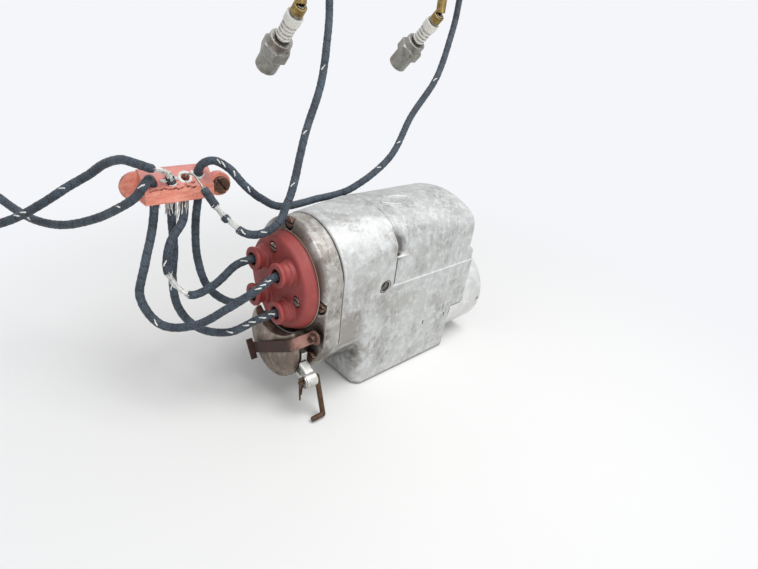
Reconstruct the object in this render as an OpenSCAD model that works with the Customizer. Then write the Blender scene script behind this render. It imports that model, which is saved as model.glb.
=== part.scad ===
// Base-mounted ignition magneto with its distributor cap, four high-tension
// leads, loom clamp and two spark plugs. Millimetres, +Z up, +X along the shaft
// towards the drive end, -Y outwards. Origin: middle of the base's underside.

/* [Shaft and base] */
// Height of the shaft above the base
shaft_h = 45; // [40:0.5:50]
// Length of the base along the shaft
base_len = 108; // [96:1:116]
// Width of the base underside
base_w = 76; // [70:0.5:82]
// Spacing of the base holes along the shaft
base_hole_sx = 50; // [40:1:60]
// Spacing of the base holes across the shaft
base_hole_sy = 50; // [40:1:54]
// Diameter of the base holes
base_hole_d = 8.5; // [6:0.1:10]
// Depth of the base holes
base_hole_depth = 16; // [10:1:22]

/* [Housing castings] */
// Width of the body at its upper edge
body_w = 83; // [78:0.5:90]
// Height of the body's upper edge, where the magnet cover begins
body_h = 88; // [84:0.5:92]
// Thickness of the end casting
end_t = 17; // [12:0.5:22]
// Rounding of the end casting's front edge
end_edge_r = 4.5; // [2:0.5:6]
// Ledge of the body's upper edge beside the magnet cover
ledge = 0.9; // [0.5:0.1:2]
// Length of the gear case behind the end casting
case_len = 50; // [44:0.5:56]
// Radius of the gear case's arch
case_r = 43.5; // [41:0.5:45]
// Height of the arch's middle
arch_z = 97; // [95:0.5:99]
// Growth of the arch's radius from the front of the gear case to its shoulder
case_flare = 6; // [4:0.5:7]
// Rounding of the gear case's rear shoulder
shoulder_r = 2; // [1:0.5:6]
// Radius of the round lower front
belly_r = 30; // [27:0.5:32]
// Rounding of the body's front corners
corner_r = 9; // [5:0.5:12]
// Length of the magnet cover
cover_len = 93; // [88:0.5:100]
// Height of the magnet cover's crown
crown_h = 143.5; // [141.5:0.5:144.5]
// Radius of the crown across its top
crown_r = 73; // [66:1:80]
// Radius of the crown at its sides
crown_side_r = 22; // [17:0.5:26]
// Rounding of the magnet cover's rear edge
crown_edge_r = 9; // [4:0.5:12]
// Width of the pocket behind the shoulder
pocket_w = 11; // [6:0.5:14]
// Long radius of the blank oval boss
oval_a = 15; // [10:0.5:18]

/* [Drive end] */
// Outer radius of the drive skirt
skirt_r = 40; // [38:0.5:42]
// Length of the drive skirt
skirt_len = 28; // [25:0.5:34]
// Drop of the skirt's outside below the shaft's axis
skirt_drop = 3; // [0:0.5:3]
// Wall of the drive skirt where it is thinnest
skirt_wall = 3.5; // [3:0.25:4.5]
// Diameter of the drive shaft
shaft_d = 15; // [12:0.5:18]
// Radius of the coupling cup
cup_r = 28; // [25:0.5:29]
// Width of a drive lug
lug_w = 11; // [8:0.5:14]
// Reach of a drive lug past the cup
lug_len = 9; // [5:0.5:12]

/* [Distributor cap] */
// Height of the cap's middle above the shaft
cap_rise = 48.5; // [46:0.5:51]
// Radius of the cap's flange
cap_r = 37; // [34:0.5:38.5]
// Depth of the cap
cap_depth = 10; // [8:0.5:13]
// Distance of a tower from the cap's middle, across
tower_y = 15; // [13:0.5:17]
// Distance of a tower from the cap's middle, up and down
tower_z = 14.5; // [13:0.5:16]
// Length of a tower
tower_len = 11; // [8:0.5:13]
// Radius of a tower
tower_r = 8; // [7:0.25:9]

/* [Breaker end] */
// Radius of the breaker cover
breaker_r = 29.5; // [27:0.5:31]
// Depth of the breaker cover's wall
breaker_wall = 5; // [4:0.5:9]
// Radius of the collar the timing ring turns on
collar_r = 24; // [22:0.5:26]
// Width of the timing ring
ring_w = 6; // [5:0.25:7]
// Distance of the arm's eye from the shaft
arm_len = 42.5; // [40:0.5:46]
// Diameter of the link rod
rod_d = 4; // [3:0.1:5]
// Length of the hanging link rod
rod_len = 30.5; // [28:0.5:44]
// Width of the spring bail
bail_w = 8.5; // [6:0.25:10]
// Thickness of the spring bail
bail_t = 1.6; // [1:0.1:2.2]
// Length of the spring bail's strip
bail_len = 58; // [50:1:62]

/* [Leads and plugs] */
// Diameter of a high-tension lead
lead_d = 5.6; // [5:0.1:7]
// Thickness of the loom clamp
clamp_t = 12; // [11:0.5:16]
// Height of the loom clamp
clamp_h = 21; // [18:0.5:24]
// Diameter of the plug insulator
plug_d = 13.5; // [11:0.5:15]
// Length of the plug insulator above its shell
plug_len = 24; // [18:0.5:30]
// Diameter of the plug thread
plug_thread_d = 18; // [14:0.5:22]

/* [Hidden] */
$fn = 64;

// Faces along the shaft
x_front = -98;                     // front of the end casting
x_part = x_front + end_t;          // parting line
x_case = x_part + case_len;        // shoulder
x_base = -56;                      // front of the base
x_low = x_base + base_len;         // rear of the base
x_rear = 69;                       // rear of the upper body
skirt_split = shaft_h - 2;         // below this the skirt reaches on to the base
x_skirt = x_rear + skirt_len;      // open end of the skirt
x_cover = x_rear - 6;              // rear of the magnet cover
x_cap = x_front - cap_depth;       // face of the cap
cap_z = shaft_h + cap_rise;        // distributor axis
front_half = body_w / 2 + 0.5;     // half width of the front castings
waist_z = shaft_h + 9;             // where the front castings turn in to the belly
belly_z = shaft_h - 17;            // where that slope meets the belly
crown_half = body_w / 2 - ledge;   // half width of the magnet cover
crown_z = crown_h - crown_r;       // middle of the crown's top arc
crown_side = crown_half - crown_side_r;
crown_side_z = crown_z + sqrt((crown_r - crown_side_r) ^ 2 - crown_side ^ 2);
case_rise = crown_h + 0.3 - arch_z - case_r;
oiler_x = x_case - 8;              // middle of the oil hole, before the shoulder
oiler_z = body_h + 2;
oiler_r = 5.5;
fit = 0.05;                        // running clearance of shaft and ring
slack = 0.15;                      // end play beside a pivoting strip

// Points [Y, Z] of the corner screws in the end casting
screw_pts = [[3, arch_z + case_r - 4.5], [5 - front_half, body_h], [front_half - 5, body_h],
  [-30, shaft_h - 3], [30, shaft_h - 3]];
screw_x = -94.5;
// Points [Y, Z] of the cap screws, from the cap's middle
cap_screw_pts = [[6, 25], [-24, -4.5], [-6, -25], [24, 4.5]];
towers = [[1, 1], [-1, 1], [-1, -1], [1, -1]];

// Bail: pivot, and direction to just below the cover's middle
bail_y = -36;
bail_z = 63;
bail_ang = atan2(shaft_h - 4 - bail_z, -bail_y);
bail_x = x_front - 18.5;
bail_head = 3.1;                   // radius of the bail screw's head
bail_leg = bail_head + 0.5;        // side of the bail's leg, clear of the head

// Arm: eye and link
arm_ang = 199;
eye_y = arm_len * cos(arm_ang);
eye_z = shaft_h + arm_len * sin(arm_ang);
ring_x = x_front - 1 - ring_w;
link_ang = -20;

// Loom clamp
clamp_y = 50;
clamp_z = 143.5;
// Ears of the clamp: X, height above its lower edge, thickness, radius
clamp_ears = [[-177, 10.5, 3, 9.6], [-120.5, 6.5, 6, 8.5]];

// Plug seats: shell top of each plug, and lean of the axis
plug_seats = [[-50.7, 88, 244.9], [96.6, 88, 251.1]];
plug_lean = 44;
lead_r = lead_d / 2;

// Routes of the leads, each from its tower through the loom clamp
lead_1_path = [
  [-112, 15, 108], [-121, 15, 108], [-132, 16, 105], [-147, 17, 94], [-163, 21, 89],
  [-171, 33, 102], [-166, 39, 120], [-153, 47, 131], [-147, 56, 143], [-147, 57, 152],
  [-146, 53, 160], [-144, 46, 162], [-142, 38, 156], [-138, 29, 146], [-133, 18, 136],
  [-125, 10, 130], [-115, 5, 131], [-105, 3, 138], [-98, 6, 147], [-90, 10, 159],
  [-71, 25, 190], [-50, 38, 221], [-35, 53, 253], [-29, 61, 271], [-30, 63, 287],
  [-33, 64, 294], [-40, 65, 298], [-48, 65, 294], [-51, 65, 287], [-51, 65, 278]
];
lead_2_path = [
  [-112, -15, 108], [-121, -15, 107], [-132, -12, 99], [-149, -5, 87], [-168, 2, 77],
  [-185, 15, 76], [-191, 31, 90], [-183, 40, 108], [-174, 47, 127], [-168, 54, 143],
  [-167, 56, 152], [-169, 53, 159], [-173, 47, 162], [-178, 43, 159], [-183, 45, 152],
  [-190, 55, 143], [-200, 71, 132], [-214, 88, 124], [-225, 106, 122],
  [-233, 126, 124], [-242, 146, 131], [-254, 164, 136]
];
lead_3_path = [
  [-112, -15, 79], [-121, -15, 79], [-132, -11, 75], [-147, -2, 66], [-161, 13, 66],
  [-167, 30, 75], [-165, 42, 91], [-160, 48, 110], [-158, 53, 130], [-156, 56, 146],
  [-156, 54, 156], [-160, 49, 164], [-167, 43, 169], [-174, 42, 171], [-180, 47, 173],
  [-185, 57, 173], [-191, 70, 167], [-198, 80, 158], [-209, 88, 149],
  [-222, 96, 138], [-236, 106, 127], [-251, 117, 119], [-264, 132, 114]
];
lead_4_path = [
  [-112, 15, 79], [-121, 15, 79], [-134, 18, 76], [-144, 32, 84], [-145, 45, 102],
  [-142, 52, 124], [-137, 56, 144], [-137, 56, 157], [-135, 53, 166], [-129, 47, 170],
  [-122, 39, 166], [-115, 32, 156], [-104, 29, 146], [-86, 29, 137], [-53, 33, 136.5],
  [-20, 28, 143], [19, 28, 165], [50, 39, 195], [83, 46, 225], [108, 58, 259],
  [117, 63, 279], [118, 64, 295], [115, 64, 302], [108, 65, 305], [100, 65, 302],
  [97, 65, 295], [97, 65, 285]
];

// Curve through the points of a route, and its frame
function unit(v) = v / norm(v);
function ahead(p, i) = i < 0 ? 2 * p[0] - p[1]
  : i > len(p) - 1 ? 2 * p[len(p) - 1] - p[len(p) - 2] : p[i];
function between(a, b, c, d, t) = 0.5 * (2 * b + (c - a) * t
  + (2 * a - 5 * b + 4 * c - d) * t * t + (3 * b - a - 3 * c + d) * t * t * t);
function route(p, k) = concat([for (i = [0:len(p) - 2], j = [0:k - 1])
  between(ahead(p, i - 1), p[i], p[i + 1], ahead(p, i + 2), j / k)], [p[len(p) - 1]]);
function heading(r) = [for (i = [0:len(r) - 1])
  unit(r[min(i + 1, len(r) - 1)] - r[max(i - 1, 0)])];
function across(u, t) = unit(u - (u * t) * t);
function sides(t) = [for (i = 0, u = across([0.3, 0.2, 1], t[0]); i < len(t);
  i = i + 1, u = i < len(t) ? across(u, t[i]) : u) u];

module tube(path, r, n = 10, k = 1) {
  c = route(path, k);
  t = heading(c);
  u = sides(t);
  m = len(c);
  points = [for (i = [0:m - 1], a = [0:n - 1])
    c[i] + r * (cos(360 * a / n) * u[i] + sin(360 * a / n) * cross(t[i], u[i]))];
  walls = [for (i = [0:m - 2], a = [0:n - 1], h = [0, 1])
    let (b = (a + 1) % n, p = i * n + a, q = i * n + b)
    h == 0 ? [p, q + n, q] : [p, p + n, q + n]];
  polyhedron(points, concat([[for (a = [0:n - 1]) a]], walls,
    [[for (a = [n - 1:-1:0]) (m - 1) * n + a]]), convexity = 12);
}

// Extrude a [Y, Z] outline from x0 to x1
module run_x(x0, x1) {
  translate([x0, 0, 0]) rotate([90, 0, 90]) linear_extrude(x1 - x0) children();
}

// Revolve an [X, radius] outline about an axis along X at [y, z]
module spin_x(y, z) {
  translate([0, y, z]) rotate([90, 0, 90]) rotate_extrude() rotate(90) mirror([0, 1]) children();
}

module rod_x(x0, x1, y, z, r) {
  translate([x0, y, z]) rotate([0, 90, 0]) cylinder(h = x1 - x0, r = r);
}

module screw(x, y, z, r, shank) {
  difference() {
    union() {
      rod_x(x - 3, x, y, z, r);
      rod_x(x, x + shank, y, z, r * 0.55);
    }
    translate([x - 3.1, y - r - 1, z - 0.6]) cube([1.5, 2 * r + 2, 1.2]);
  }
}

// Outline of the front castings: arch above, round belly below
module belly_2d() {
  translate([0, shaft_h]) circle(belly_r);
  polygon([[-front_half, body_h], [-front_half, waist_z], [-belly_r * 0.8, belly_z],
    [belly_r * 0.8, belly_z], [front_half, waist_z], [front_half, body_h]]);
}

module arch_2d(r) {
  intersection() {
    union() {
      translate([0, arch_z]) circle(r);
      translate([-front_half, waist_z]) square([2 * front_half, arch_z - waist_z]);
    }
    translate([-front_half, waist_z]) square([2 * front_half, arch_z]);
  }
}

module body_2d() {
  polygon([[-base_w / 2, 0], [base_w / 2, 0], [body_w / 2, body_h], [-body_w / 2, body_h]]);
}

// Flat sides and a crown of three arcs that run into each other
module crown_2d() {
  intersection() {
    union() {
      translate([-crown_half, body_h]) square([2 * crown_half, crown_side_z - body_h]);
      intersection() {
        translate([0, crown_z]) circle(crown_r);
        translate([0, crown_z]) polygon([[0, 0],
          for (s = [-2, 2]) [s * crown_side, abs(s) * (crown_side_z - crown_z)]]);
      }
      for (s = [-1, 1]) translate([s * crown_side, crown_side_z]) circle(crown_side_r);
    }
    translate([-crown_half - 1, body_h]) square([2 * crown_half + 2, 80]);
  }
}

// Main casting: base, body and round lower front, bored for the shaft
module main_housing() {
  color("#b9bcb8") difference() {
    union() {
      difference() {
        run_x(x_base, x_low) body_2d();
        for (s = [0, 1]) mirror([0, s, 0]) corner_cut();
      }
      run_x(x_low, x_rear) intersection() {
        body_2d();
        translate([-body_w, skirt_split]) square([2 * body_w, body_h]);
      }
      run_x(x_part, x_base + corner_r) belly_2d();
      run_x(x_base, x_low) translate([0, shaft_h]) circle(belly_r);
    }
    rod_x(x_part - 1, x_rear + 1, 0, shaft_h, shaft_d / 2 + fit);
    for (sx = [-1, 1], sy = [-1, 1])
      translate([sx * base_hole_sx / 2, sy * base_hole_sy / 2, -1])
        cylinder(h = base_hole_depth + 1, d = base_hole_d);
    oiler_seat(oiler_r);
  }
}

// What the rounding takes off one front corner, leaning with the body's draft
module corner_cut() {
  translate([x_base, -base_w / 2, 0])
    rotate([atan((body_w - base_w) / 2 / body_h), 0, 0]) difference() {
      translate([-1, -1, -2]) cube([corner_r + 1, corner_r + 1, waist_z + 8]);
      translate([corner_r, corner_r, -3]) cylinder(h = waist_z + 10, r = corner_r);
    }
}

// Place of the oil hole on the near side
module oiler_seat(r) {
  translate([oiler_x, -front_half - 3, oiler_z]) rotate([-90, 0, 0])
    cylinder(h = 9.5, r = r);
}

module oiler() {
  color("#8d8f8b") difference() {
    translate([oiler_x, 1 - front_half, oiler_z]) rotate([-90, 0, 0])
      cylinder(h = 5.5, r = oiler_r - 0.2);
    translate([oiler_x, -front_half, oiler_z]) rotate([-90, 0, 0]) cylinder(h = 3, r = oiler_r - 1.3);
  }
}

// Gear case: a round arch in front that grows into the cover's crown
module gear_case() {
  color("#c3c6c2") difference() {
    intersection() {
      run_x(x_part, x_case) translate([-front_half, body_h])
        square([2 * front_half, 80]);
      spin_x(0, arch_z) polygon([[x_part, 0], [x_part, case_r],
        [x_case, case_r + case_flare], [x_case, 0]]);
      spin_x(0, arch_z) round_end(x_part, x_case, case_r + case_flare, shoulder_r);
      translate([x_part, 0, arch_z + case_r - crown_r])
        rotate([0, 90 - atan(case_rise / case_len), 0])
          translate([0, 0, -20]) cylinder(h = case_len + 40, r = crown_r);
    }
    oiler_seat(oiler_r);
  }
}

// [X, radius] outline of a solid cylinder with a rounded far edge
module round_end(x0, x1, r, e) {
  polygon([[x0, 0], [x1, 0], [x1, r - e], [x1 - e, r - e], [x1 - e, r], [x0, r]]);
  translate([x1 - e, r - e]) intersection() {
    circle(e);
    square(e);
  }
}

// Cover over the magnets, with pockets behind the shoulder and a blank boss
module magnet_cover() {
  color("#c9ccc8") {
    difference() {
      union() {
        intersection() {
          run_x(x_case, x_cover) crown_2d();
          spin_x(0, crown_z) round_end(x_case, x_cover, crown_r, crown_edge_r);
        }
        run_x(x_cover, x_rear) translate([-crown_half, body_h])
          square([2 * crown_half, 10]);
      }
      for (s = [-1, 1])
        translate([x_case, s * (body_w / 2 + 3), body_h + 25])
          cylinder(h = 40, r = pocket_w);
    }
    oval_boss();
  }
}

// Raised oval rim on the crown, left blank inside
module oval_boss() {
  intersection() {
    difference() {
      translate([-7, -9, 130]) oval(oval_a, oval_a * 0.45, 20);
      translate([-7, -9, 129]) oval(oval_a - 1.2, oval_a * 0.45 - 1.2, 22);
    }
    difference() {
      rod_x(-30, 20, 0, crown_z, crown_r + 0.9);
      rod_x(-31, 21, 0, crown_z, crown_r - 0.5);
    }
  }
}

module oval(a, b, h) {
  q = (a * a - b * b) / (2 * b);
  intersection() {
    translate([0, -q, 0]) cylinder(h = h, r = q + b);
    translate([0, q, 0]) cylinder(h = h, r = q + b);
  }
}

// End casting around the cap, with pockets for its corner screws
module end_casting() {
  color("#b4b6b2") difference() {
    union() {
      intersection() {
        run_x(x_front, x_part) arch_2d(case_r - 1);
        spin_x(0, arch_z) mirror([1, 0]) round_end(-x_part, -x_front, case_r, end_edge_r);
      }
      run_x(x_front + 3, x_part) belly_2d();
    }
    for (p = screw_pts) rod_x(x_front - 1, screw_x, p[0], p[1], 5.6);
    for (p = screw_pts) rod_x(screw_x - 1, x_part - 3, p[0], p[1], 2.3);
    rod_x(x_front - 1, x_part + 1, 0, shaft_h, shaft_d / 2 + fit);
    rod_x(x_front - 1, x_front + 3, 0, shaft_h, collar_r);
    for (p = cap_screw_pts) rod_x(x_front - 1, x_front + 9, p[0], cap_z + p[1], 1.9);
    rod_x(x_front - 1, x_front + 9, bail_y, bail_z, 2);
  }
}

module case_screws() {
  color("#5d4436") for (p = screw_pts) screw(screw_x, p[0], p[1], 3.8, 6);
}

// Round skirt behind the body, over the impulse coupling
module drive_skirt() {
  color("#d3d5d2") difference() {
    union() {
      rod_x(x_rear, x_skirt, 0, shaft_h - skirt_drop, skirt_r);
      intersection() {
        rod_x(x_low, x_rear, 0, shaft_h - skirt_drop, skirt_r);
        translate([x_low, -body_w, -10]) cube([30, 2 * body_w, skirt_split + 10]);
      }
    }
    rod_x(x_rear + 5, x_skirt + 1, 0, shaft_h, skirt_r - skirt_drop - skirt_wall);
    rod_x(x_low - 1, x_rear + 6, 0, shaft_h, shaft_d / 2 + fit);
    translate([x_skirt - 3, -skirt_r - 1, shaft_h - 6]) rotate([-90, 0, 0])
      cylinder(h = 14, r = 1.8);
  }
}

// Rotor shaft through both castings
module drive_shaft() {
  color("#9aa0a3") {
    rod_x(x_front + 5, x_skirt - 8, 0, shaft_h, shaft_d / 2);
    rod_x(x_skirt - 8, x_skirt + 8, 0, shaft_h, shaft_d / 2 - 2.5);
  }
}

// Impulse coupling cup with two drive lugs
module coupling_cup() {
  color("#7f8486") difference() {
    union() {
      spin_x(0, shaft_h) round_end(x_rear + 9, x_skirt - 8, cup_r, 3);
      for (s = [-1, 1])
        translate([x_skirt - 9, s * 21 - lug_w / 2, shaft_h - lug_w / 2])
          cube([lug_len + 1, lug_w, lug_w]);
    }
    rod_x(x_rear, x_skirt, 0, shaft_h, shaft_d / 2);
    for (a = [45:90:315])
      rod_x(x_skirt - 12, x_skirt, 20 * cos(a), shaft_h + 20 * sin(a), 3.5);
  }
}

module coupling_nut() {
  color("#8f9496") difference() {
    rod_x(x_skirt - 8, x_skirt - 1, 0, shaft_h, 10.5);
    rod_x(x_skirt - 9, x_skirt, 0, shaft_h, shaft_d / 2 - 2.5);
    for (a = [0:60:300])
      translate([x_skirt - 9, 0, shaft_h]) rotate([a, 0, 0])
        translate([0, -15, 9]) cube([9, 30, 6]);
  }
}

// Red moulded cap with four towers
module distributor_cap() {
  color("#9e3a35") difference() {
    union() {
      spin_x(0, cap_z) polygon([[x_front, 0], [x_front, cap_r], [x_front - 3, cap_r],
        [x_cap + 2.5, cap_r - 2], [x_cap + 0.7, cap_r - 2.8], [x_cap, cap_r - 4.5],
        [x_cap, 0]]);
      for (t = towers) tower(t[0] * tower_y, cap_z + t[1] * tower_z);
    }
    for (t = towers) {
      rod_x(x_cap - tower_len - 1, x_cap - 3, t[0] * tower_y, cap_z + t[1] * tower_z,
        lead_r + 0.5);
      rod_x(x_cap - tower_len - 1, x_cap - tower_len + 4.5, t[0] * tower_y,
        cap_z + t[1] * tower_z, lead_r + 1.9);
    }
    for (p = cap_screw_pts) {
      rod_x(x_cap - 1, x_cap + 3, p[0], cap_z + p[1], 4.2);
      rod_x(x_cap, x_front + 1, p[0], cap_z + p[1], 2.4);
    }
  }
}

module tower(y, z) {
  rod_x(x_cap - tower_len, x_cap, y, z, tower_r - 0.6);
  rod_x(x_cap - tower_len, x_cap - tower_len + 3, y, z, tower_r + 0.6);
  rod_x(x_cap - 3, x_cap, y, z, tower_r + 0.8);
}

module cap_screws() {
  color("#77756f") for (p = cap_screw_pts) {
    screw(x_cap + 3, p[0], cap_z + p[1], 3.4, 1);
    rod_x(x_cap + 3.5, x_front + 8, p[0], cap_z + p[1], 1.8);
  }
}

// Collar on the end casting that carries the timing ring
module breaker_collar() {
  color("#a9a8a2") difference() {
    rod_x(x_front - ring_w - 2, x_front + 3, 0, shaft_h, collar_r);
    cap_room(1);
  }
}

module cap_room(gap) {
  rod_x(x_front - 40, x_front + 3.1, 0, cap_z, cap_r + gap);
}

// Domed cover over the breaker, hollowed above to pass the cap
module breaker_cover() {
  color("#8e8378") difference() {
    spin_x(0, shaft_h) polygon([
      [x_front - ring_w - 2, 0], [x_front - ring_w - 2, breaker_r],
      [x_front - ring_w - breaker_wall, breaker_r],
      [x_front - ring_w - breaker_wall - 2.6, breaker_r - 1.2],
      [x_front - ring_w - breaker_wall - 4, breaker_r - 4],
      [x_front - ring_w - breaker_wall - 4.6, breaker_r - 8],
      [bail_x + 1.6, 9], [bail_x + 0.3, 7], [bail_x + 0.3, 0]]);
    cap_room(1.5);
  }
}

// Ring that turns on the collar to set the timing
module timing_ring() {
  color("#b7b3a8") difference() {
    rod_x(ring_x, ring_x + ring_w - 1, 0, shaft_h, breaker_r + 1);
    rod_x(ring_x - 1, ring_x + ring_w, 0, shaft_h, collar_r + fit);
    translate([ring_x - 1, -50, shaft_h + 3]) cube([ring_w + 2, 100, 60]);
  }
}

// Cast arm: channel with two ribs out to the eye
module timing_arm() {
  color("#c6c8c4") translate([0, 0, shaft_h]) rotate([arm_ang, 0, 0]) difference() {
    union() {
      for (s = [-1, 1])
        run_x(ring_x - 2.5, ring_x + 4.5) polygon([[breaker_r + 0.9, s * 6.5],
          [breaker_r + 0.9, s * 3.8], [arm_len, s * 2.6], [arm_len, s * 5]]);
      run_x(ring_x, ring_x + 2.5) polygon([[breaker_r + 0.9, -6], [breaker_r + 0.9, 6],
        [arm_len, 4], [arm_len, -4]]);
      rod_x(ring_x - 4.5, ring_x + 4.5, arm_len, 0, 5.6);
    }
    rod_x(ring_x - 6, ring_x + 6, arm_len, 0, rod_d / 2 + fit);
    difference() {
      rod_x(ring_x - 6, ring_x + 6, 0, 0, breaker_r + 1);
      rod_x(ring_x - 7, ring_x + 7, 0, 0, breaker_r - 6);
    }
  }
}

// Bent link rod hanging from the arm's eye
module link_rod() {
  color("#5a4438") translate([0, eye_y, eye_z]) rotate([link_ang, 0, 0]) {
    rod_x(ring_x - 8.5, ring_x + 7, 0, 0, rod_d / 2);
    translate([ring_x + 7, 0, 0]) sphere(rod_d / 2);
    translate([ring_x + 7, 0, -rod_len]) cylinder(h = rod_len, d = rod_d);
    translate([ring_x + 7, 0, -rod_len]) sphere(rod_d / 2);
    rod_x(ring_x - 3, ring_x + 7, 0, -rod_len, rod_d / 2);
  }
}

module cotter_pin() {
  color("#6e6a66") translate([ring_x - 7, eye_y, eye_z]) {
    translate([-1.6, 0, rod_d / 2 + 1.35]) rotate([0, 90, 0]) cylinder(h = 3.2, r = 1.3);
    for (s = [-1, 1])
      translate([s * 1.1, 0, -rod_d / 2 - 0.1]) rotate([0, s * 4, 0])
        translate([0, 0, s * 2.5 - 11]) cylinder(h = 11 - s * 2.5, r = 0.7);
  }
}

// Flat spring that swings over the breaker cover
module cover_bail() {
  color("#4c3a30") translate([0, bail_y, bail_z]) rotate([bail_ang, 0, 0]) {
    difference() {
      rod_x(x_front - bail_t - slack, x_front - slack, 0, 0, 5.4);
      rod_x(x_front - 5, x_front + 1, 0, 0, 2.1);
    }
    translate([bail_x - bail_t, bail_leg, -bail_w / 2])
      cube([x_front - slack - bail_x + bail_t, bail_t, bail_w]);
    translate([bail_x - bail_t, bail_leg, -bail_w / 2])
      cube([bail_t, bail_len, bail_w]);
    translate([bail_x - bail_t - 3.5, bail_leg + bail_len - bail_t, -bail_w / 2 - 4.6])
      cube([3.5 + bail_t, bail_t, bail_w + 7.6]);
  }
}

module bail_screw() {
  color("#4a3a31") screw(x_front - bail_t - 2 * slack, bail_y, bail_z, bail_head, 9);
}

module lead_1() { color("#2c3540") tube(lead_1_path, lead_r); }
module lead_2() { color("#2c3540") tube(lead_2_path, lead_r); }
module lead_3() { color("#2c3540") tube(lead_3_path, lead_r); }
module lead_4() { color("#2c3540") tube(lead_4_path, lead_r); }

// Place a shape at p, its Z axis turned to d
module along(p, d) {
  translate(p) rotate([0, acos(d[2] / norm(d)), atan2(d[1], d[0])]) children();
}

// Crimped barrel with an eye, on the free end of a lead
module free_end(path) {
  e = path[len(path) - 1];
  d = e - path[len(path) - 2];
  color("#8c7a55") along(e, d) difference() {
    union() {
      translate([0, 0, -6]) cylinder(h = 13, r = lead_r + 1.3);
      translate([0, 5, 13]) rotate([90, 0, 0]) cylinder(h = 10, r = 5.5);
      translate([-3, -2.5, 6]) cube([6, 5, 6]);
    }
    translate([0, 0, -7]) cylinder(h = 7.1, r = lead_r + 0.45);
    translate([0, 6, 13]) rotate([90, 0, 0]) cylinder(h = 12, r = 3.4);
  }
}

module lead_end_2() { free_end(lead_2_path); }
module lead_end_3() { free_end(lead_3_path); }

// Clips that join two leads to the plugs: a barrel, and an eye over the nut
module plug_clips() {
  color("#8c7a55") for (i = [0, 1]) {
    p = i == 0 ? lead_1_path : lead_4_path;
    e = p[len(p) - 1];
    difference() {
      union() {
        translate([e[0], e[1], e[2] - 9]) cylinder(h = 15, r = lead_r + 1.3);
        translate(plug_seats[i]) rotate([plug_lean, 0, 0])
          translate([0, 0, plug_len + 1.5]) cylinder(h = 7, r = 5.2);
      }
      translate([e[0], e[1], e[2] - 0.1]) cylinder(h = 8, r = lead_r + 0.45);
      translate(plug_seats[i]) rotate([plug_lean, 0, 0])
        translate([0, 0, plug_len]) cylinder(h = 9.3, r = 3.25);
    }
  }
}

module plug_nuts() {
  color("#77756f") for (s = plug_seats)
    translate(s) rotate([plug_lean, 0, 0]) translate([0, 0, plug_len]) {
      cylinder(h = 9, r = 3.2);
      cylinder(h = 1.4, r = 4.6);
    }
}

// Painted sheet clamp the four leads pass through
module loom_clamp() {
  color("#c8664f") difference() {
    union() {
      translate([0, clamp_y, 0]) rotate([90, 0, 90]) translate([0, 0, -175])
        linear_extrude(47) polygon([[0, clamp_z], [0, clamp_z + 10],
          [clamp_t * 0.7, clamp_z + clamp_h], [clamp_t, clamp_z + clamp_h], [clamp_t, clamp_z]]);
      for (e = clamp_ears) translate([e[0], clamp_y + clamp_t, clamp_z + e[1]])
        rotate([90, 0, 0]) cylinder(h = e[2], r = e[3]);
    }
    for (p = [lead_1_path, lead_2_path, lead_3_path, lead_4_path]) tube(p, lead_r + 0.4);
  }
}

module clamp_screws() {
  e = clamp_ears[1];
  color("#4b3a33") translate([e[0], clamp_y + clamp_t - e[2], clamp_z + e[1]])
    rotate([90, 0, 0]) difference() {
      cylinder(h = 3.6, r = e[3] - 2.5);
      rotate(-52) translate([-8, -0.9, 2.1]) cube([16, 1.8, 3]);
    }
}

// Ribbed white insulators and their terminal nuts
module plug_insulators() {
  color("#dcdad2") for (s = plug_seats)
    translate(s) rotate([plug_lean, 0, 0]) {
      cylinder(h = plug_len, d = plug_d - 4);
      translate([0, 0, plug_len - 7.5]) cylinder(h = 7.5, d = plug_d);
      for (k = [0:3]) translate([0, 0, 2 + k * 3.4]) cylinder(h = 2, d = plug_d - 1.5);
    }
}

module plug_shells() {
  color("#8b8a84") for (s = plug_seats)
    translate(s) rotate([plug_lean, 0, 0]) {
      translate([0, 0, -7]) cylinder(h = 6.9, d = plug_d + 5);
      translate([0, 0, -17]) cylinder(h = 10, d = 24, $fn = 6);
      translate([0, 0, -32]) cylinder(h = 15, d = plug_thread_d);
    }
}

main_housing();
gear_case();
magnet_cover();
end_casting();
case_screws();
drive_skirt();
oiler();
drive_shaft();
coupling_cup();
coupling_nut();
distributor_cap();
cap_screws();
breaker_collar();
breaker_cover();
timing_ring();
timing_arm();
link_rod();
cotter_pin();
cover_bail();
bail_screw();
lead_1();
lead_2();
lead_3();
lead_4();
lead_end_2();
lead_end_3();
plug_clips();
loom_clamp();
clamp_screws();
plug_insulators();
plug_shells();
plug_nuts();
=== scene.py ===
"""Ignition magneto with its leads, loom clamp and plugs: pieces, finishes and studio."""
import logging
import math
import random
from dataclasses import dataclass, field
from enum import Enum
from typing import Any, Iterable, Sequence

import bmesh
import bpy
from mathutils import Matrix, Vector, noise


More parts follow.
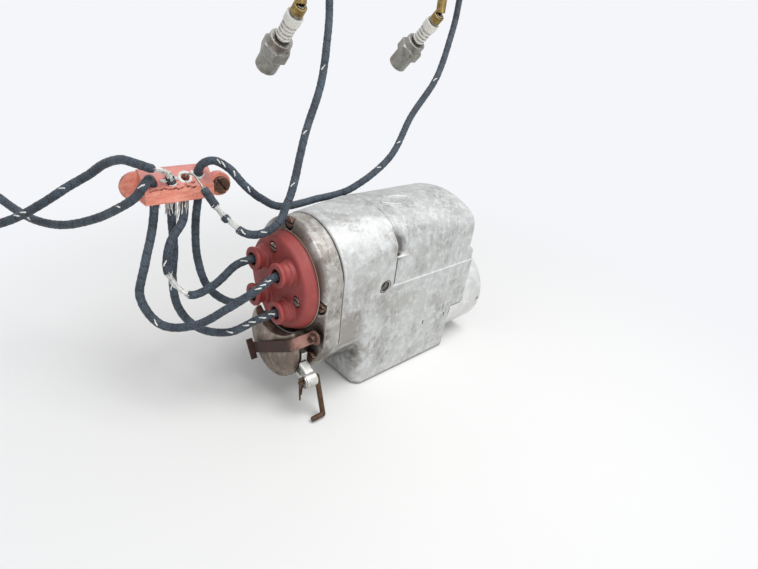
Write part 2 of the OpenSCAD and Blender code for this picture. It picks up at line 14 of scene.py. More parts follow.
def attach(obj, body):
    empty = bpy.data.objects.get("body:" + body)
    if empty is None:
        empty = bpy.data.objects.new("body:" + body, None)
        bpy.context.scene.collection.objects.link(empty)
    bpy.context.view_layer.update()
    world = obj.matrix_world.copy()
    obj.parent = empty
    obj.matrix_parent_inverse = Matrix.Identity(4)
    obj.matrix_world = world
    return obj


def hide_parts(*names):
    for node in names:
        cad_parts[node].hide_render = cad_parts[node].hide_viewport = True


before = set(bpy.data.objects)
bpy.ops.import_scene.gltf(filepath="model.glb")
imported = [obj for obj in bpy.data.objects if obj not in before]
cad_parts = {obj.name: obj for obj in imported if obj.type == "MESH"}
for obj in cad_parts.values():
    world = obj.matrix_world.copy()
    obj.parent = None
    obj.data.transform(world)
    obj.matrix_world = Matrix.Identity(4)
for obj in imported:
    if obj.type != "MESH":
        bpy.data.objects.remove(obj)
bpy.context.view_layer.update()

LOG = logging.getLogger("magneto")
# A millimetre, and the distance at which points are merged, in metres.
MM = 0.001
MERGE = 1e-6
AO_SAMPLES = 8
Mesh, Object = bpy.types.Mesh, bpy.types.Object
Node, Socket, Tree = bpy.types.Node, bpy.types.NodeSocket, bpy.types.NodeTree
Pair = tuple[float, float]
Triple = tuple[float, float, float]
Colour = tuple[float, float, float, float]
Strand = tuple[list[Vector], float]
# Places of the inputs of a Map Range node and of a colour Mix node, and their settings.
VALUE, LOW, HIGH, BOTTOM, TOP = range(5)
AMOUNT, UNDER, OVER = 0, 6, 7
SMOOTH = {"interpolation_type": "SMOOTHSTEP"}
BLEND = {"data_type": "RGBA"}


class Body(Enum):
    """The moving bodies that a piece can ride on."""

    MAGNETO = "magneto"
    ROTOR = "rotor"
    TIMING = "timing"
    LINK = "link"
    BAIL = "bail"


class Slot(Enum):
    """The record's material slots."""

    CASTING = "casting"
    CASTING_DULL = "casting_dull"
    CLEAN = "clean_aluminium"
    STAINED = "stained_casting"
    STEEL = "steel"
    RUST = "rusty_steel"
    RED = "red_moulding"
    CLOTH = "lead_cloth"
    BRASS = "brass"
    PAINT = "clamp_paint"
    PORCELAIN = "porcelain"


class Shows(Enum):
    """What a stretch of a lead shows; the value is its material index."""

    CLOTH = 0
    THREADS = 1
    WIRE = 2


def linear(code: str) -> Colour:
    """Turn an sRGB hex colour into linear light.

    Args:
        code: Six hex digits, with a leading hash.

    Returns:
        Linear red, green and blue, with an alpha of 1.
    """
    parts = [int(code[i:i + 2], 16) / 255 for i in (1, 3, 5)]
    light = [c / 12.92 if c <= 0.04045 else ((c + 0.055) / 1.055) ** 2.4 for c in parts]
    return (light[0], light[1], light[2], 1.0)


def add(tree: Tree, kind: str, sockets: dict[Any, Any] | None = None, **settings: Any) -> Node:
    """Add one node with its settings, values and links.

    Args:
        tree: Node tree that gets the node.
        kind: Blender's type name of the node, after its ShaderNode.
        sockets: For each input, by name or place, a value, an sRGB hex colour, a socket to
            link, or a node to link by its first output in use.
        settings: Properties of the node.

    Returns:
        The new node.
    """
    node = tree.nodes.new("ShaderNode" + kind)
    for name, value in settings.items():
        setattr(node, name, value)
    for key, value in (sockets or {}).items():
        if isinstance(value, Node):
            value = next(out for out in value.outputs if out.enabled)
        if isinstance(value, Socket):
            tree.links.new(value, node.inputs[key])
        else:
            node.inputs[key].default_value = linear(value) if isinstance(value, str) else value
    return node


@dataclass(frozen=True)
class Finish:
    """A surface finish; each kind paints its own pattern."""

    name: str

    def material(self) -> bpy.types.Material:
        """Make this finish a material, once.

        Returns:
            The material.
        """
        made = bpy.data.materials.get(self.name)
        if not made:
            made = bpy.data.materials.new(self.name)
            made.use_nodes = True
            tree = made.node_tree
            tree.nodes.clear()
            inputs = self.paint(tree, add(tree, "TexCoord"))
            add(tree, "OutputMaterial", {"Surface": add(tree, "BsdfPrincipled", inputs)})
        return made

    def paint(self, tree: Tree, place: Node) -> dict[str, Any]:
        """Build the pattern.

        Args:
            tree: The material's node tree.
            place: Its Texture Coordinate node.

        Returns:
            What goes into the shader's inputs.
        """
        raise NotImplementedError


@dataclass(frozen=True)
class Layer:
    """A colour that shows where a pattern passes from one level to another."""

    pattern: Node | Socket
    low: float
    high: float
    amount: float
    colour: str
    smooth: bool = False


def layered(tree: Tree, tone: Node | str, layers: Iterable[Layer]) -> Node:
    """Lay colours over each other, each through the mask of its pattern.

    Args:
        tree: The material's node tree.
        tone: Colour underneath.
        layers: Colours, from the lowest up.

    Returns:
        The last colour's node.
    """
    for layer in layers:
        mask = add(tree, "MapRange", {VALUE: layer.pattern, LOW: layer.low, HIGH: layer.high,
                   TOP: layer.amount}, **(SMOOTH if layer.smooth else {}))
        tone = add(tree, "Mix", {AMOUNT: mask, UNDER: tone, OVER: layer.colour}, **BLEND)
    return tone


@dataclass(frozen=True)
class Mark:
    """A local stain, or painted shade such as a dark slot or shadowed hollow, on a surface
    (millimetres).
    """

    centre: Triple
    reach: Triple
    colour: str
    strength: float = 0.8
    ragged: float = 0.5

    def layer(self, tree: Tree, spot: Socket, torn: Node) -> Layer:
        """Build the mark, full in its middle and torn at its edge.

        Args:
            tree: The material's node tree.
            spot: Place on the surface.
            torn: Noise that tears the edge.

        Returns:
            The mark as a layer.
        """
        away = add(tree, "VectorMath", {0: spot, 1: [c * MM for c in self.centre]},
                   operation="SUBTRACT")
        away = add(tree, "VectorMath", {0: away, 1: [1 / (r * MM) for r in self.reach]},
                   operation="MULTIPLY")
        away = add(tree, "VectorMath", {0: away}, operation="LENGTH")
        away = add(tree, "Math", {0: torn, 1: 2.2 * self.ragged, 2: away},
                   operation="MULTIPLY_ADD")
        # The noise lies around 0.5, so it moves the edge out by about 1.1 times ragged.
        edge = 1 + 1.1 * self.ragged
        return Layer(away, edge + 0.35 * self.ragged + 0.02, edge - 0.85 * self.ragged - 0.1,
                     self.strength, self.colour, True)


@dataclass(frozen=True)
class JointOrHighlight:
    """A straight line inside a box (millimetres): either a dark joint where two castings meet or
    a painted highlight along a ledge.
    """

    centre: Triple
    half: Triple
    colour: str
    strength: float = 0.7
    lift: float = 0.0
    soft_mm: float = 0.2

    def mask(self, tree: Tree, spot: Socket) -> Node:
        """Build the mask of the line's box.

        Args:
            tree: The material's node tree.
            spot: Place on the surface.

        Returns:
            The mask's last node.
        """
        away = add(tree, "VectorMath", {0: spot, 1: [c * MM for c in self.centre]},
                   operation="SUBTRACT")
        away = add(tree, "VectorMath", {0: away}, operation="ABSOLUTE")
        away = add(tree, "VectorMath", {0: away, 1: [h * MM for h in self.half]},
                   operation="SUBTRACT")
        away = add(tree, "SeparateXYZ", {0: away})
        off = add(tree, "Math", {0: away.outputs["X"], 1: away.outputs["Y"]},
                  operation="MAXIMUM")
        off = add(tree, "Math", {0: off, 1: away.outputs["Z"]}, operation="MAXIMUM")
        return add(tree, "MapRange", {
            VALUE: off, LOW: self.soft_mm * MM, HIGH: -self.soft_mm * MM, TOP: self.strength})


@dataclass(frozen=True)
class WeatheredMetal(Finish):
    """Bare metal that has stood outdoors: cloudy, grimy and painted with shade in corners, bright
    on edges.
    """

    base: str = "#b9bbb8"
    pale: str = "#d6d8d5"
    dark: str = "#8d8e8a"
    grime_and_shade: str = "#4c443b"
    edge: str = "#ececea"
    cloud_mm: float = 9.0
    grain_mm: float = 1.1
    relief_mm: float = 0.10
    metallic: float = 0.6
    rough: Pair = (0.38, 0.58)
    grime_and_shade_reach_mm: float = 5.0
    grime_and_shade_amount: float = 0.75
    edge_amount: float = 0.5
    pits: float = 0.35
    mottle: float = 0.6
    scuffs: float = 0.0
    marks: tuple[Mark, ...] = ()
    joints_and_highlights: tuple[JointOrHighlight, ...] = ()

    def paint(self, tree: Tree, place: Node) -> dict[str, Any]:
        """Layer clouds, pits, scuffs, stains and painted shade, corner grime with painted shade,
        worn edges, dark joints and painted highlights.

        Args:
            tree: The material's node tree.
            place: Its Texture Coordinate node.

        Returns:
            What goes into the shader's inputs.
        """
        spot = place.outputs["Object"]
        cloud, grain = 1000 / self.cloud_mm, 1000 / self.grain_mm
        clouds = add(tree, "TexNoise", {"Vector": spot, "Scale": cloud, "Detail": 7.0,
                                        "Roughness": 0.68, "Distortion": 0.2})
        broad = add(tree, "TexNoise", {"Vector": spot, "Scale": cloud / 3.7, "Detail": 3.0,
                                       "Roughness": 0.5})
        fine = add(tree, "TexNoise", {"Vector": spot, "Scale": grain, "Detail": 3.0,
                                      "Roughness": 0.6})
        lean = add(tree, "Mapping", {"Vector": spot, "Rotation": (0.5, 0.35, 0.2),
                                     "Scale": (1.0, 1.0, 0.33)})
        scuff = add(tree, "TexNoise", {"Vector": lean, "Scale": grain / 2.6, "Detail": 4.0,
                                       "Roughness": 0.7})
        scuff = add(tree, "Math", {0: broad, 1: 0.45, 2: scuff}, operation="MULTIPLY_ADD")
        # Ambient occlusion darkens corners and hollows in the grime colour: grime, and painted
        # shade.
        corner = add(tree, "AmbientOcclusion", {"Distance": self.grime_and_shade_reach_mm * MM},
                     samples=AO_SAMPLES)
        dirt_and_shade = add(tree, "Math", {0: corner.outputs["AO"], 1: clouds}, operation="SUBTRACT")
        bent = add(tree, "NewGeometry").outputs["Pointiness"]
        tone = layered(tree, self.base, (
            Layer(broad, 0.42, 0.64, self.mottle, self.dark, True),
            Layer(clouds, 0.44, 0.62, self.mottle, self.pale, True),
            Layer(fine, 0.36, 0.27, self.pits, self.grime_and_shade),
            Layer(scuff, 0.76, 0.92, self.scuffs, self.grime_and_shade),
            *(mark.layer(tree, spot, clouds) for mark in self.marks),
            Layer(dirt_and_shade, 0.34, -0.02, self.grime_and_shade_amount, self.grime_and_shade, True),
            Layer(bent, 0.515, 0.6, self.edge_amount, self.edge)))
        gloss = add(tree, "MapRange", {VALUE: clouds, LOW: 0.35, HIGH: 0.65,
                                       BOTTOM: self.rough[0], TOP: self.rough[1]})
        lift = add(tree, "Math", {0: clouds, 1: 1.5, 2: fine}, operation="MULTIPLY_ADD")
        # Dark joints, and painted highlight lines along ledges.
        for seam in self.joints_and_highlights:
            mask = seam.mask(tree, spot)
            tone = add(tree, "Mix", {AMOUNT: mask, UNDER: tone, OVER: seam.colour}, **BLEND)
            lift = add(tree, "Math", {0: mask, 1: seam.lift, 2: lift},
                       operation="MULTIPLY_ADD")
        bump = add(tree, "Bump", {"Height": lift, "Distance": self.relief_mm * MM})
        return {"Base Color": tone, "Roughness": gloss, "Normal": bump,
                "Metallic": self.metallic}


@dataclass(frozen=True)
class RedMoulding(Finish):
    """Compression-moulded phenolic: brick red, satin, dusty on its face, with painted shade in
    its corners.
    """

    base: str = "#943b38"
    dusty: str = "#a84e4a"
    # Deep red of dirt and painted shade in its corners.
    deep: str = "#35120f"
    patches_per_m: float = 90.0
    grain_per_m: float = 900.0
    relief_mm: float = 0.04
    dirt_and_shade_reach_mm: float = 12.0
    marks: tuple[Mark, ...] = ()

    def paint(self, tree: Tree, place: Node) -> dict[str, Any]:
        """Mix faded patches, and dirt and painted shade in its corners, over a satin body colour.

        Args:
            tree: The material's node tree.
            place: Its Texture Coordinate node.

        Returns:
            What goes into the shader's inputs.
        """
        spot = place.outputs["Object"]
        faded = add(tree, "TexNoise", {"Vector": spot, "Scale": self.patches_per_m,
                                       "Detail": 4.0, "Roughness": 0.55})
        fine = add(tree, "TexNoise", {"Vector": spot, "Scale": self.grain_per_m,
                                      "Detail": 2.0})
        # Ambient occlusion darkens its corners towards the deep red: dirt, and painted shade.
        corner = add(tree, "AmbientOcclusion", {"Distance": self.dirt_and_shade_reach_mm * MM},
                     samples=AO_SAMPLES)
        tone = layered(tree, self.base, (
            Layer(faded, 0.4, 0.68, 0.45, self.dusty, True),
            *(mark.layer(tree, spot, faded) for mark in self.marks),
            Layer(corner.outputs["AO"], 0.85, 0.2, 0.75, self.deep)))
        gloss = add(tree, "MapRange", {VALUE: fine, LOW: 0.35, HIGH: 0.65, BOTTOM: 0.5,
                                       TOP: 0.64})
        bump = add(tree, "Bump", {"Height": fine, "Distance": self.relief_mm * MM})
        return {"Base Color": tone, "Roughness": gloss, "Normal": bump, "IOR": 1.55}


@dataclass(frozen=True)
class BraidedCotton(Finish):
    """Lacquered cotton braid over rubber: dark slate blue, with pale dust on its ridges."""

    base: str = "#26303b"
    ridge: str = "#465461"
    groove: str = "#0e1217"
    carriers: float = 8.0
    pitch_mm: float = 3.0
    wrap_mm: float = 4.3
    patches_per_m: float = 110.0
    fuzz_per_m: float = 1300.0
    relief_mm: float = 0.14

    def paint(self, tree: Tree, place: Node) -> dict[str, Any]:
        """Cross two helices of threads, drawn 1.5 mm wide so that they show, under dark wraps.

        Args:
            tree: The material's node tree.
            place: Its Texture Coordinate node.

        Returns:
            What goes into the shader's inputs.
        """
        spot = place.outputs["Object"]
        way = add(tree, "SeparateXYZ", {0: place.outputs["UV"]})
        around, along = way.outputs["X"], way.outputs["Y"]
        patch = add(tree, "TexNoise", {"Vector": spot, "Scale": self.patches_per_m,
                                       "Detail": 4.0, "Roughness": 0.6})
        fuzz = add(tree, "TexNoise", {"Vector": spot, "Scale": self.fuzz_per_m,
                                      "Detail": 3.0})
        turn = add(tree, "Math", {0: around, 1: self.carriers * 2 * math.pi},
                   operation="MULTIPLY")
        run = add(tree, "Math", {0: along, 1: 2 * math.pi / self.pitch_mm},
                  operation="MULTIPLY")
        helices = [add(tree, "Math", {0: add(tree, "Math", {0: turn, 1: run}, operation=hand)},
                       operation="SINE") for hand in ("ADD", "SUBTRACT")]
        weave = add(tree, "Math", dict(enumerate(helices)), operation="MAXIMUM")
        wander = add(tree, "Math", {0: patch, 1: 1.6, 2: around}, operation="MULTIPLY_ADD")
        wrap = add(tree, "Math", {0: along, 1: 1 / self.wrap_mm, 2: wander},
                   operation="MULTIPLY_ADD")
        wrap = add(tree, "Math", {0: wrap, 1: 1.0}, operation="PINGPONG")
        wrap = add(tree, "MapRange", {VALUE: wrap, LOW: 0.22, HIGH: 0.0, TOP: 0.75}, **SMOOTH)
        worn = add(tree, "Math", {0: fuzz, 1: 0.5, 2: patch}, operation="MULTIPLY_ADD")
        deep = add(tree, "MapRange", {VALUE: weave, LOW: 0.3, HIGH: -0.6, TOP: 0.6}, **SMOOTH)
        deep = add(tree, "Math", {0: deep, 1: wrap}, operation="MAXIMUM")
        tone = layered(tree, self.base, [Layer(worn, 0.55, 0.95, 0.9, self.ridge, True)])
        tone = add(tree, "Mix", {AMOUNT: deep, UNDER: tone, OVER: self.groove}, **BLEND)
        lift = add(tree, "Math", {0: fuzz, 1: 1.4, 2: weave}, operation="MULTIPLY_ADD")
        lift = add(tree, "Math", {0: wrap, 1: -2.0, 2: lift}, operation="MULTIPLY_ADD")
        bump = add(tree, "Bump", {"Height": lift, "Distance": self.relief_mm * MM})
        return {"Base Color": tone, "Normal": bump, "Roughness": 0.6, "Sheen Weight": 0.1,
                "Sheen Roughness": 0.5}


@dataclass(frozen=True)
class SpunThread(Finish):
    """Bare cotton thread: off-white, matt, with dirt rubbed in along its length."""

    base: str = "#dfe0dc"
    soiled: str = "#8f8d86"
    soil_per_m: float = 350.0
    twist_per_m: float = 2500.0
    relief_mm: float = 0.1

    def paint(self, tree: Tree, place: Node) -> dict[str, Any]:
        """Soil a pale thread in short patches.

        Args:
            tree: The material's node tree.
            place: Its Texture Coordinate node.

        Returns:
            What goes into the shader's inputs.
        """
        spot = place.outputs["Object"]
        soil = add(tree, "TexNoise", {"Vector": spot, "Scale": self.soil_per_m, "Detail": 3.0})
        tone = layered(tree, self.base, [Layer(soil, 0.5, 0.7, 0.75, self.soiled, True)])
        twist = add(tree, "TexNoise", {"Vector": spot, "Scale": self.twist_per_m,
                                       "Detail": 2.0})
        bump = add(tree, "Bump", {"Height": twist, "Distance": self.relief_mm * MM})
        return {"Base Color": tone, "Normal": bump, "Roughness": 0.85}


@dataclass(frozen=True)
class CrackedPaint(Finish):
    """Brushed enamel over sheet steel: salmon red, split along the bend, rust in the splits, with
    painted shade on its upward faces and in its corners.
    """

    base: str = "#e68d78"
    sunned: str = "#fab09a"
    shade: str = "#bf6252"
    # Darker, greyer pink painted on upward faces: painted shade.
    slope: str = "#c4807c"
    # Rust in splits and chips, and painted shade in corners.
    rust_and_shade: str = "#5b241b"
    crack: str = "crack"
    brush_per_m: float = 330.0
    grain_per_m: float = 700.0
    relief_mm: float = 0.25
    dirt_and_shade_reach_mm: float = 3.0

    def paint(self, tree: Tree, place: Node) -> dict[str, Any]:
        """Brush the enamel on in streaks, paint shade on its upward faces, darken its cracks and
        its corners and chip it at its edges.

        Args:
            tree: The material's node tree.
            place: Its Texture Coordinate node.

        Returns:
            What goes into the shader's inputs.
        """
        spot = place.outputs["Object"]
        drawn = add(tree, "Mapping", {"Vector": spot, "Scale": (0.3, 1.0, 1.0)})
        brush = add(tree, "TexNoise", {"Vector": drawn, "Scale": self.brush_per_m,
                                       "Detail": 5.0, "Roughness": 0.6})
        fine = add(tree, "TexNoise", {"Vector": spot, "Scale": self.grain_per_m,
                                      "Detail": 3.0})
        shape = add(tree, "NewGeometry")
        face = add(tree, "SeparateXYZ", {0: shape.outputs["Normal"]})
        # Upward faces, by the Z of their normal, take the slope colour: painted shade.
        tone = layered(tree, self.base, (
            Layer(brush, 0.42, 0.62, 0.7, self.sunned, True),
            Layer(fine, 0.5, 0.7, 0.45, self.shade),
            Layer(face.outputs["Z"], 0.2, 0.6, 0.75, self.slope)))
        split = add(tree, "Attribute", attribute_name=self.crack)
        split = add(tree, "MapRange", {VALUE: split.outputs["Fac"], LOW: 0.25, HIGH: 0.8,
                                       TOP: 0.9})
        chip = add(tree, "Math", {0: fine, 1: 0.5, 2: shape.outputs["Pointiness"]},
                   operation="MULTIPLY_ADD")
        chip = add(tree, "MapRange", {VALUE: chip, LOW: 0.86, HIGH: 0.92, TOP: 0.8})
        bared_and_shaded = add(tree, "Math", {0: split, 1: chip}, operation="MAXIMUM")
        # Ambient occlusion darkens its corners towards the rust colour: rust, and painted shade.
        corner = add(tree, "AmbientOcclusion", {"Distance": self.dirt_and_shade_reach_mm * MM},
                     samples=AO_SAMPLES)
        dirt_and_shade = add(tree, "MapRange", {VALUE: corner.outputs["AO"], LOW: 0.5, HIGH: 0.15,
                                      TOP: 0.6})
        bared_and_shaded = add(tree, "Math", {0: bared_and_shaded, 1: dirt_and_shade}, operation="MAXIMUM")
        tone = add(tree, "Mix", {AMOUNT: bared_and_shaded, UNDER: tone, OVER: self.rust_and_shade}, **BLEND)
        drop = add(tree, "Math", {0: bared_and_shaded, 1: -2.0, 2: brush}, operation="MULTIPLY_ADD")
        bump = add(tree, "Bump", {"Height": drop, "Distance": self.relief_mm * MM})
        return {"Base Color": tone, "Normal": bump, "Roughness": 0.58}


@dataclass(frozen=True)
class GlazedPorcelain(Finish):
    """Glazed insulator porcelain: warm white and glossy, grey in its grooves with dust and
    painted shade.
    """

    base: str = "#e9e7e0"
    dust_and_shade: str = "#8d8880"
    film_per_m: float = 260.0
    dirt_and_shade_reach_mm: float = 3.0

    def paint(self, tree: Tree, place: Node) -> dict[str, Any]:
        """Lay dust and painted shade in the grooves of a glossy white.

        Args:
            tree: The material's node tree.
            place: Its Texture Coordinate node.

        Returns:
            What goes into the shader's inputs.
        """
        film = add(tree, "TexNoise", {"Vector": place.outputs["Object"],
                                      "Scale": self.film_per_m, "Detail": 4.0})
        # Ambient occlusion greys the grooves: dust, and painted shade.
        corner = add(tree, "AmbientOcclusion", {"Distance": self.dirt_and_shade_reach_mm * MM},
                     samples=AO_SAMPLES)
        dirt_and_shade = add(tree, "Math", {0: corner.outputs["AO"], 1: film}, operation="SUBTRACT")
        tone = layered(tree, self.base, [Layer(dirt_and_shade, 0.35, 0.0, 0.85, self.dust_and_shade)])
        gloss = add(tree, "MapRange", {VALUE: film, LOW: 0.4, HIGH: 0.7, BOTTOM: 0.14,
                                       TOP: 0.4})
        return {"Base Color": tone, "Roughness": gloss, "IOR": 1.54}


# Each metal's colours are, in order: base, pale, dark, grime and painted shade in its corners,
# worn edge.
# Sand-cast aluminium, stood outdoors: pale grey and dull, with soft clouds and grime, painted
# shade low on its front and flank, in its pockets and in two slots, and painted highlights along
# its ledges.
CASTING = WeatheredMetal(
    "cast_aluminium_body", "#bebfbd", "#d9dbdb", "#a7a7a4", cloud_mm=6.0, scuffs=0.32,
    metallic=0.5, rough=(0.46, 0.66), marks=(
        # Dark brown on the low front and flank: dirt, and painted shade under the belly and
        # flank.
        Mark((-72, -16, 30), (22, 24, 20), "#4d443b", 0.85),
        Mark((-62, -38, 28), (12, 12, 20), "#6a6158", 0.7),
        Mark((-74, -40, 62), (18, 10, 20), "#7d746a", 0.65),
        # Painted shade in the pocket behind the shoulder.
        Mark((-28, -35, 118), (7, 8, 12), "#565049", 0.8, 0.3),
        Mark((-29, -36, 114), (4, 8, 4), "#2e2924", 0.9, 0.2),
        Mark((-60, -40, 96), (16, 8, 10), "#8f8c84", 0.45, 0.9),
        Mark((-20, -42, 70), (20, 8, 9), "#9b9890", 0.4, 0.9),
        # Painted shade of two small slots on the side.
        Mark((16, -39.5, 38.5), (0.8, 2, 2.6), "#2b2723", 0.95, 0.15),
        Mark((44, -39.5, 38), (0.8, 2, 1.9), "#2b2723", 0.9, 0.15)), joints_and_highlights=(
        # Painted highlights: a bright line on each side along the ledge at Z 88, where the step
        # catches the light.
        *(JointOrHighlight((18.5, y, 88), (50.0, 3, 0.3), "#f4f4f1", 0.8, 2.0) for y in (-41.5, 41.5)),
        JointOrHighlight((-31.1, 0, 131), (0.35, 43, 16), "#6f6b63", 0.6, -2.0),
        *(JointOrHighlight((-29.9, y, 100.5), (1.1, 6, 11.0), "#3a342e", 0.92, -3.0) for y in (-40, 40)),
        # Painted highlights on the ledge at the foot of each pocket.
        *(JointOrHighlight((-23.5, y, 111.8), (6.0, 3, 0.5), "#f4f4f1", 0.8, 1.0) for y in (-41.5, 41.5)),
        *(JointOrHighlight((x, -41, 62), (0.35, 4, 21), "#dcddda", 0.4, 0.6) for x in (14.5, 38.5))))
# The end casting is darker and browner than the body: oil and dust around the cap, and painted
# shade on its front face and under the cap.
END_CASTING = WeatheredMetal(
    "cast_aluminium_end", "#aaa6a0", "#c6c4bf", "#8a837b", "#3b322b", grime_and_shade_amount=0.9,
    grime_and_shade_reach_mm=11.0, cloud_mm=6.0, mottle=0.7, scuffs=0.55, marks=(
        # Dark brown on the front face and low front: oil stains, and painted shade of the front
        # face.
        Mark((-98, -28, 66), (11, 20, 24), "#564a42", 0.85),
        Mark((-98, 0, 138), (5, 34, 13), "#665a51"),
        Mark((-98, -36, 110), (5, 9, 28), "#665a51"),
        Mark((-90, -32, 40), (14, 14, 16), "#5f554d", 0.75),
        # Painted shade inside the oil hole.
        Mark((-40.5, -39, 91.5), (3.8, 2.6, 3.4), "#2f2923", 0.9, 0.2)))
# Turned and brushed aluminium, kept brighter where the coupling is cleaned.
SKIRT = WeatheredMetal(
    "turned_aluminium_skirt", "#dcdddb", "#ecedeb", "#c2c2be", cloud_mm=14.0, relief_mm=0.05,
    rough=(0.3, 0.46), metallic=0.75)
# Pressed steel cover, its plating gone to a warm brown film.
BREAKER = WeatheredMetal(
    "plated_breaker_cover", "#8d7f73", "#b8aca0", "#65574b", "#3a2c22", cloud_mm=11.0,
    relief_mm=0.05, rough=(0.34, 0.52), metallic=0.7, pits=0.25, scuffs=0.45)
# Die-cast arm, rubbed bright by hands.
ARM = WeatheredMetal(
    "die_cast_arm", "#c6c7c2", "#deded9", "#989791", "#3b332b", cloud_mm=5.0, relief_mm=0.05,
    rough=(0.3, 0.48), metallic=0.7, grime_and_shade_reach_mm=3.0)
# Screws that rust has turned brown, bright on their rims.
SCREW = WeatheredMetal(
    "rusted_screw", "#5e4336", "#8b6a57", "#3b2820", "#1f1510", "#b9aca0", cloud_mm=2.2,
    grain_mm=0.5, relief_mm=0.06, rough=(0.45, 0.7), metallic=0.55, grime_and_shade_reach_mm=1.6,
    edge_amount=0.75)
# Plated cheese-head screws, nearly clean.
CAP_SCREW = WeatheredMetal(
    "plated_screw", "#a29f97", "#cbc8c0", "#6b665d", "#2a231d", cloud_mm=2.0, grain_mm=0.5,
    relief_mm=0.03, rough=(0.25, 0.45), metallic=0.9, grime_and_shade_reach_mm=1.6, edge_amount=0.6)
# Spring strip with old brown enamel, worn to the metal on its edges.
STRIP = WeatheredMetal(
    "enamelled_spring_strip", "#36190f", "#4e2c1f", "#22110b", "#160d09", "#7a5a49",
    cloud_mm=4.0, grain_mm=0.7, relief_mm=0.09, rough=(0.55, 0.75), metallic=0.0,
    grime_and_shade_reach_mm=1.5, edge_amount=0.35, scuffs=0.5, marks=(
        Mark((-104, -34, 62), (13, 9, 9), "#a67c71", 0.85),))
# Round steel rod under a dark film of oil and rust.
ROD = WeatheredMetal(
    "oily_rusted_rod", "#43301f", "#6b4a33", "#2a1d15", "#17100c", "#8a6f58", cloud_mm=3.0,
    grain_mm=0.6, relief_mm=0.05, rough=(0.4, 0.62), metallic=0.45, grime_and_shade_reach_mm=2.0)
# Blackened machine steel of the coupling and shaft.
STEEL = WeatheredMetal(
    "oiled_machine_steel", "#83868a", "#a6a9ab", "#56585a", "#2a2522", "#c9cbcc",
    cloud_mm=6.0, relief_mm=0.03, rough=(0.28, 0.45), metallic=0.95)
# Zinc-plated plug shells with rust freckles.
SHELL = WeatheredMetal(
    "plated_plug_shell", "#8d8c86", "#aeada6", "#6a5546", "#352a22", cloud_mm=4.0,
    grain_mm=0.7, relief_mm=0.05, rough=(0.35, 0.55), metallic=0.8, pits=0.5)
# Brass terminals, brown with age.
BRASS = WeatheredMetal(
    "aged_brass_terminal", "#8c7748", "#b59c63", "#5b4a2c", "#2e2416", "#d8c08a",
    cloud_mm=3.0, grain_mm=0.6, relief_mm=0.03, rough=(0.3, 0.5), metallic=0.9,
    grime_and_shade_reach_mm=2.0)
# Compressed cork and paper gasket, cream at its cut edge.
GASKET = WeatheredMetal(
    "cork_gasket", "#c2b49a", "#d9cdb6", "#94836a", "#5b4c3b", "#d9cdb6", cloud_mm=3.0,
    grain_mm=0.6, relief_mm=0.05, rough=(0.8, 0.95), metallic=0.0)
# Bare tinned wire in a worn lead.
WIRE = WeatheredMetal(
    "tinned_wire", "#a9a69c", "#d2cfc5", "#6d665c", "#3a322b", cloud_mm=2.0, grain_mm=0.4,
    relief_mm=0.03, rough=(0.35, 0.5), metallic=0.8)
# The cap's moulded phenolic, with painted shade in the four mouths of its towers.
RED = RedMoulding("phenolic_cap", marks=tuple(
    Mark((-106.5, y, 93.5 + z), (2.2, 4.6, 4.6), "#231211", 0.9, 0.12)
    for y, z in ((6, 25), (-24, -4.5), (-6, -25), (24, 4.5))))
CLOTH = BraidedCotton("lacquered_cotton_braid")
THREAD = SpunThread("bare_cotton_thread")
PAINT = CrackedPaint("brushed_enamel_clamp")
PORCELAIN = GlazedPorcelain("glazed_porcelain")


def install(name: str, mesh: Mesh, body: Body, finishes: Sequence[Finish],
            nodes: Sequence[str] = ()) -> Object:
    """Put a finished mesh into the scene as a piece.

    Args:
        name: The piece's name.
        mesh: Its mesh, with its place in it.
        body: Body that it rides on.
        finishes: One finish for each material index.
        nodes: CAD nodes that it stands for.

    Returns:
        The piece's object.
    """
    for finish in finishes:
        mesh.materials.append(finish.material())
    piece = bpy.data.objects.new(name, mesh)
    bpy.context.scene.collection.objects.link(piece)
    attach(piece, body.value)
    if nodes:
        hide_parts(*nodes)
    LOG.info("%s: %d faces", name, len(mesh.polygons))
    return piece


def evaluated(holder: Object) -> Mesh:
    """Apply a holder's modifiers or bevel, and remove the holder.

    Args:
        holder: Object that isn't in the scene yet.

    Returns:
        Its final mesh.
    """
    bpy.context.scene.collection.objects.link(holder)
    graph = bpy.context.evaluated_depsgraph_get()
    mesh = bpy.data.meshes.new_from_object(holder.evaluated_get(graph))
    bpy.data.objects.remove(holder)
    return mesh


def written(shape: bmesh.types.BMesh, mesh: Mesh | None = None, smooth: bool = True) -> Mesh:
    """Write a bmesh into a mesh, and free it.

    Args:
        shape: The bmesh.
        mesh: Mesh that takes it, or None for a new one.
        smooth: Whether its faces are shaded smooth.

    Returns:
        The mesh.
    """
    mesh = mesh or bpy.data.meshes.new("skin")
    shape.to_mesh(mesh)
    shape.free()
    if smooth:
        mesh.polygons.foreach_set("use_smooth", [True] * len(mesh.polygons))
    return mesh


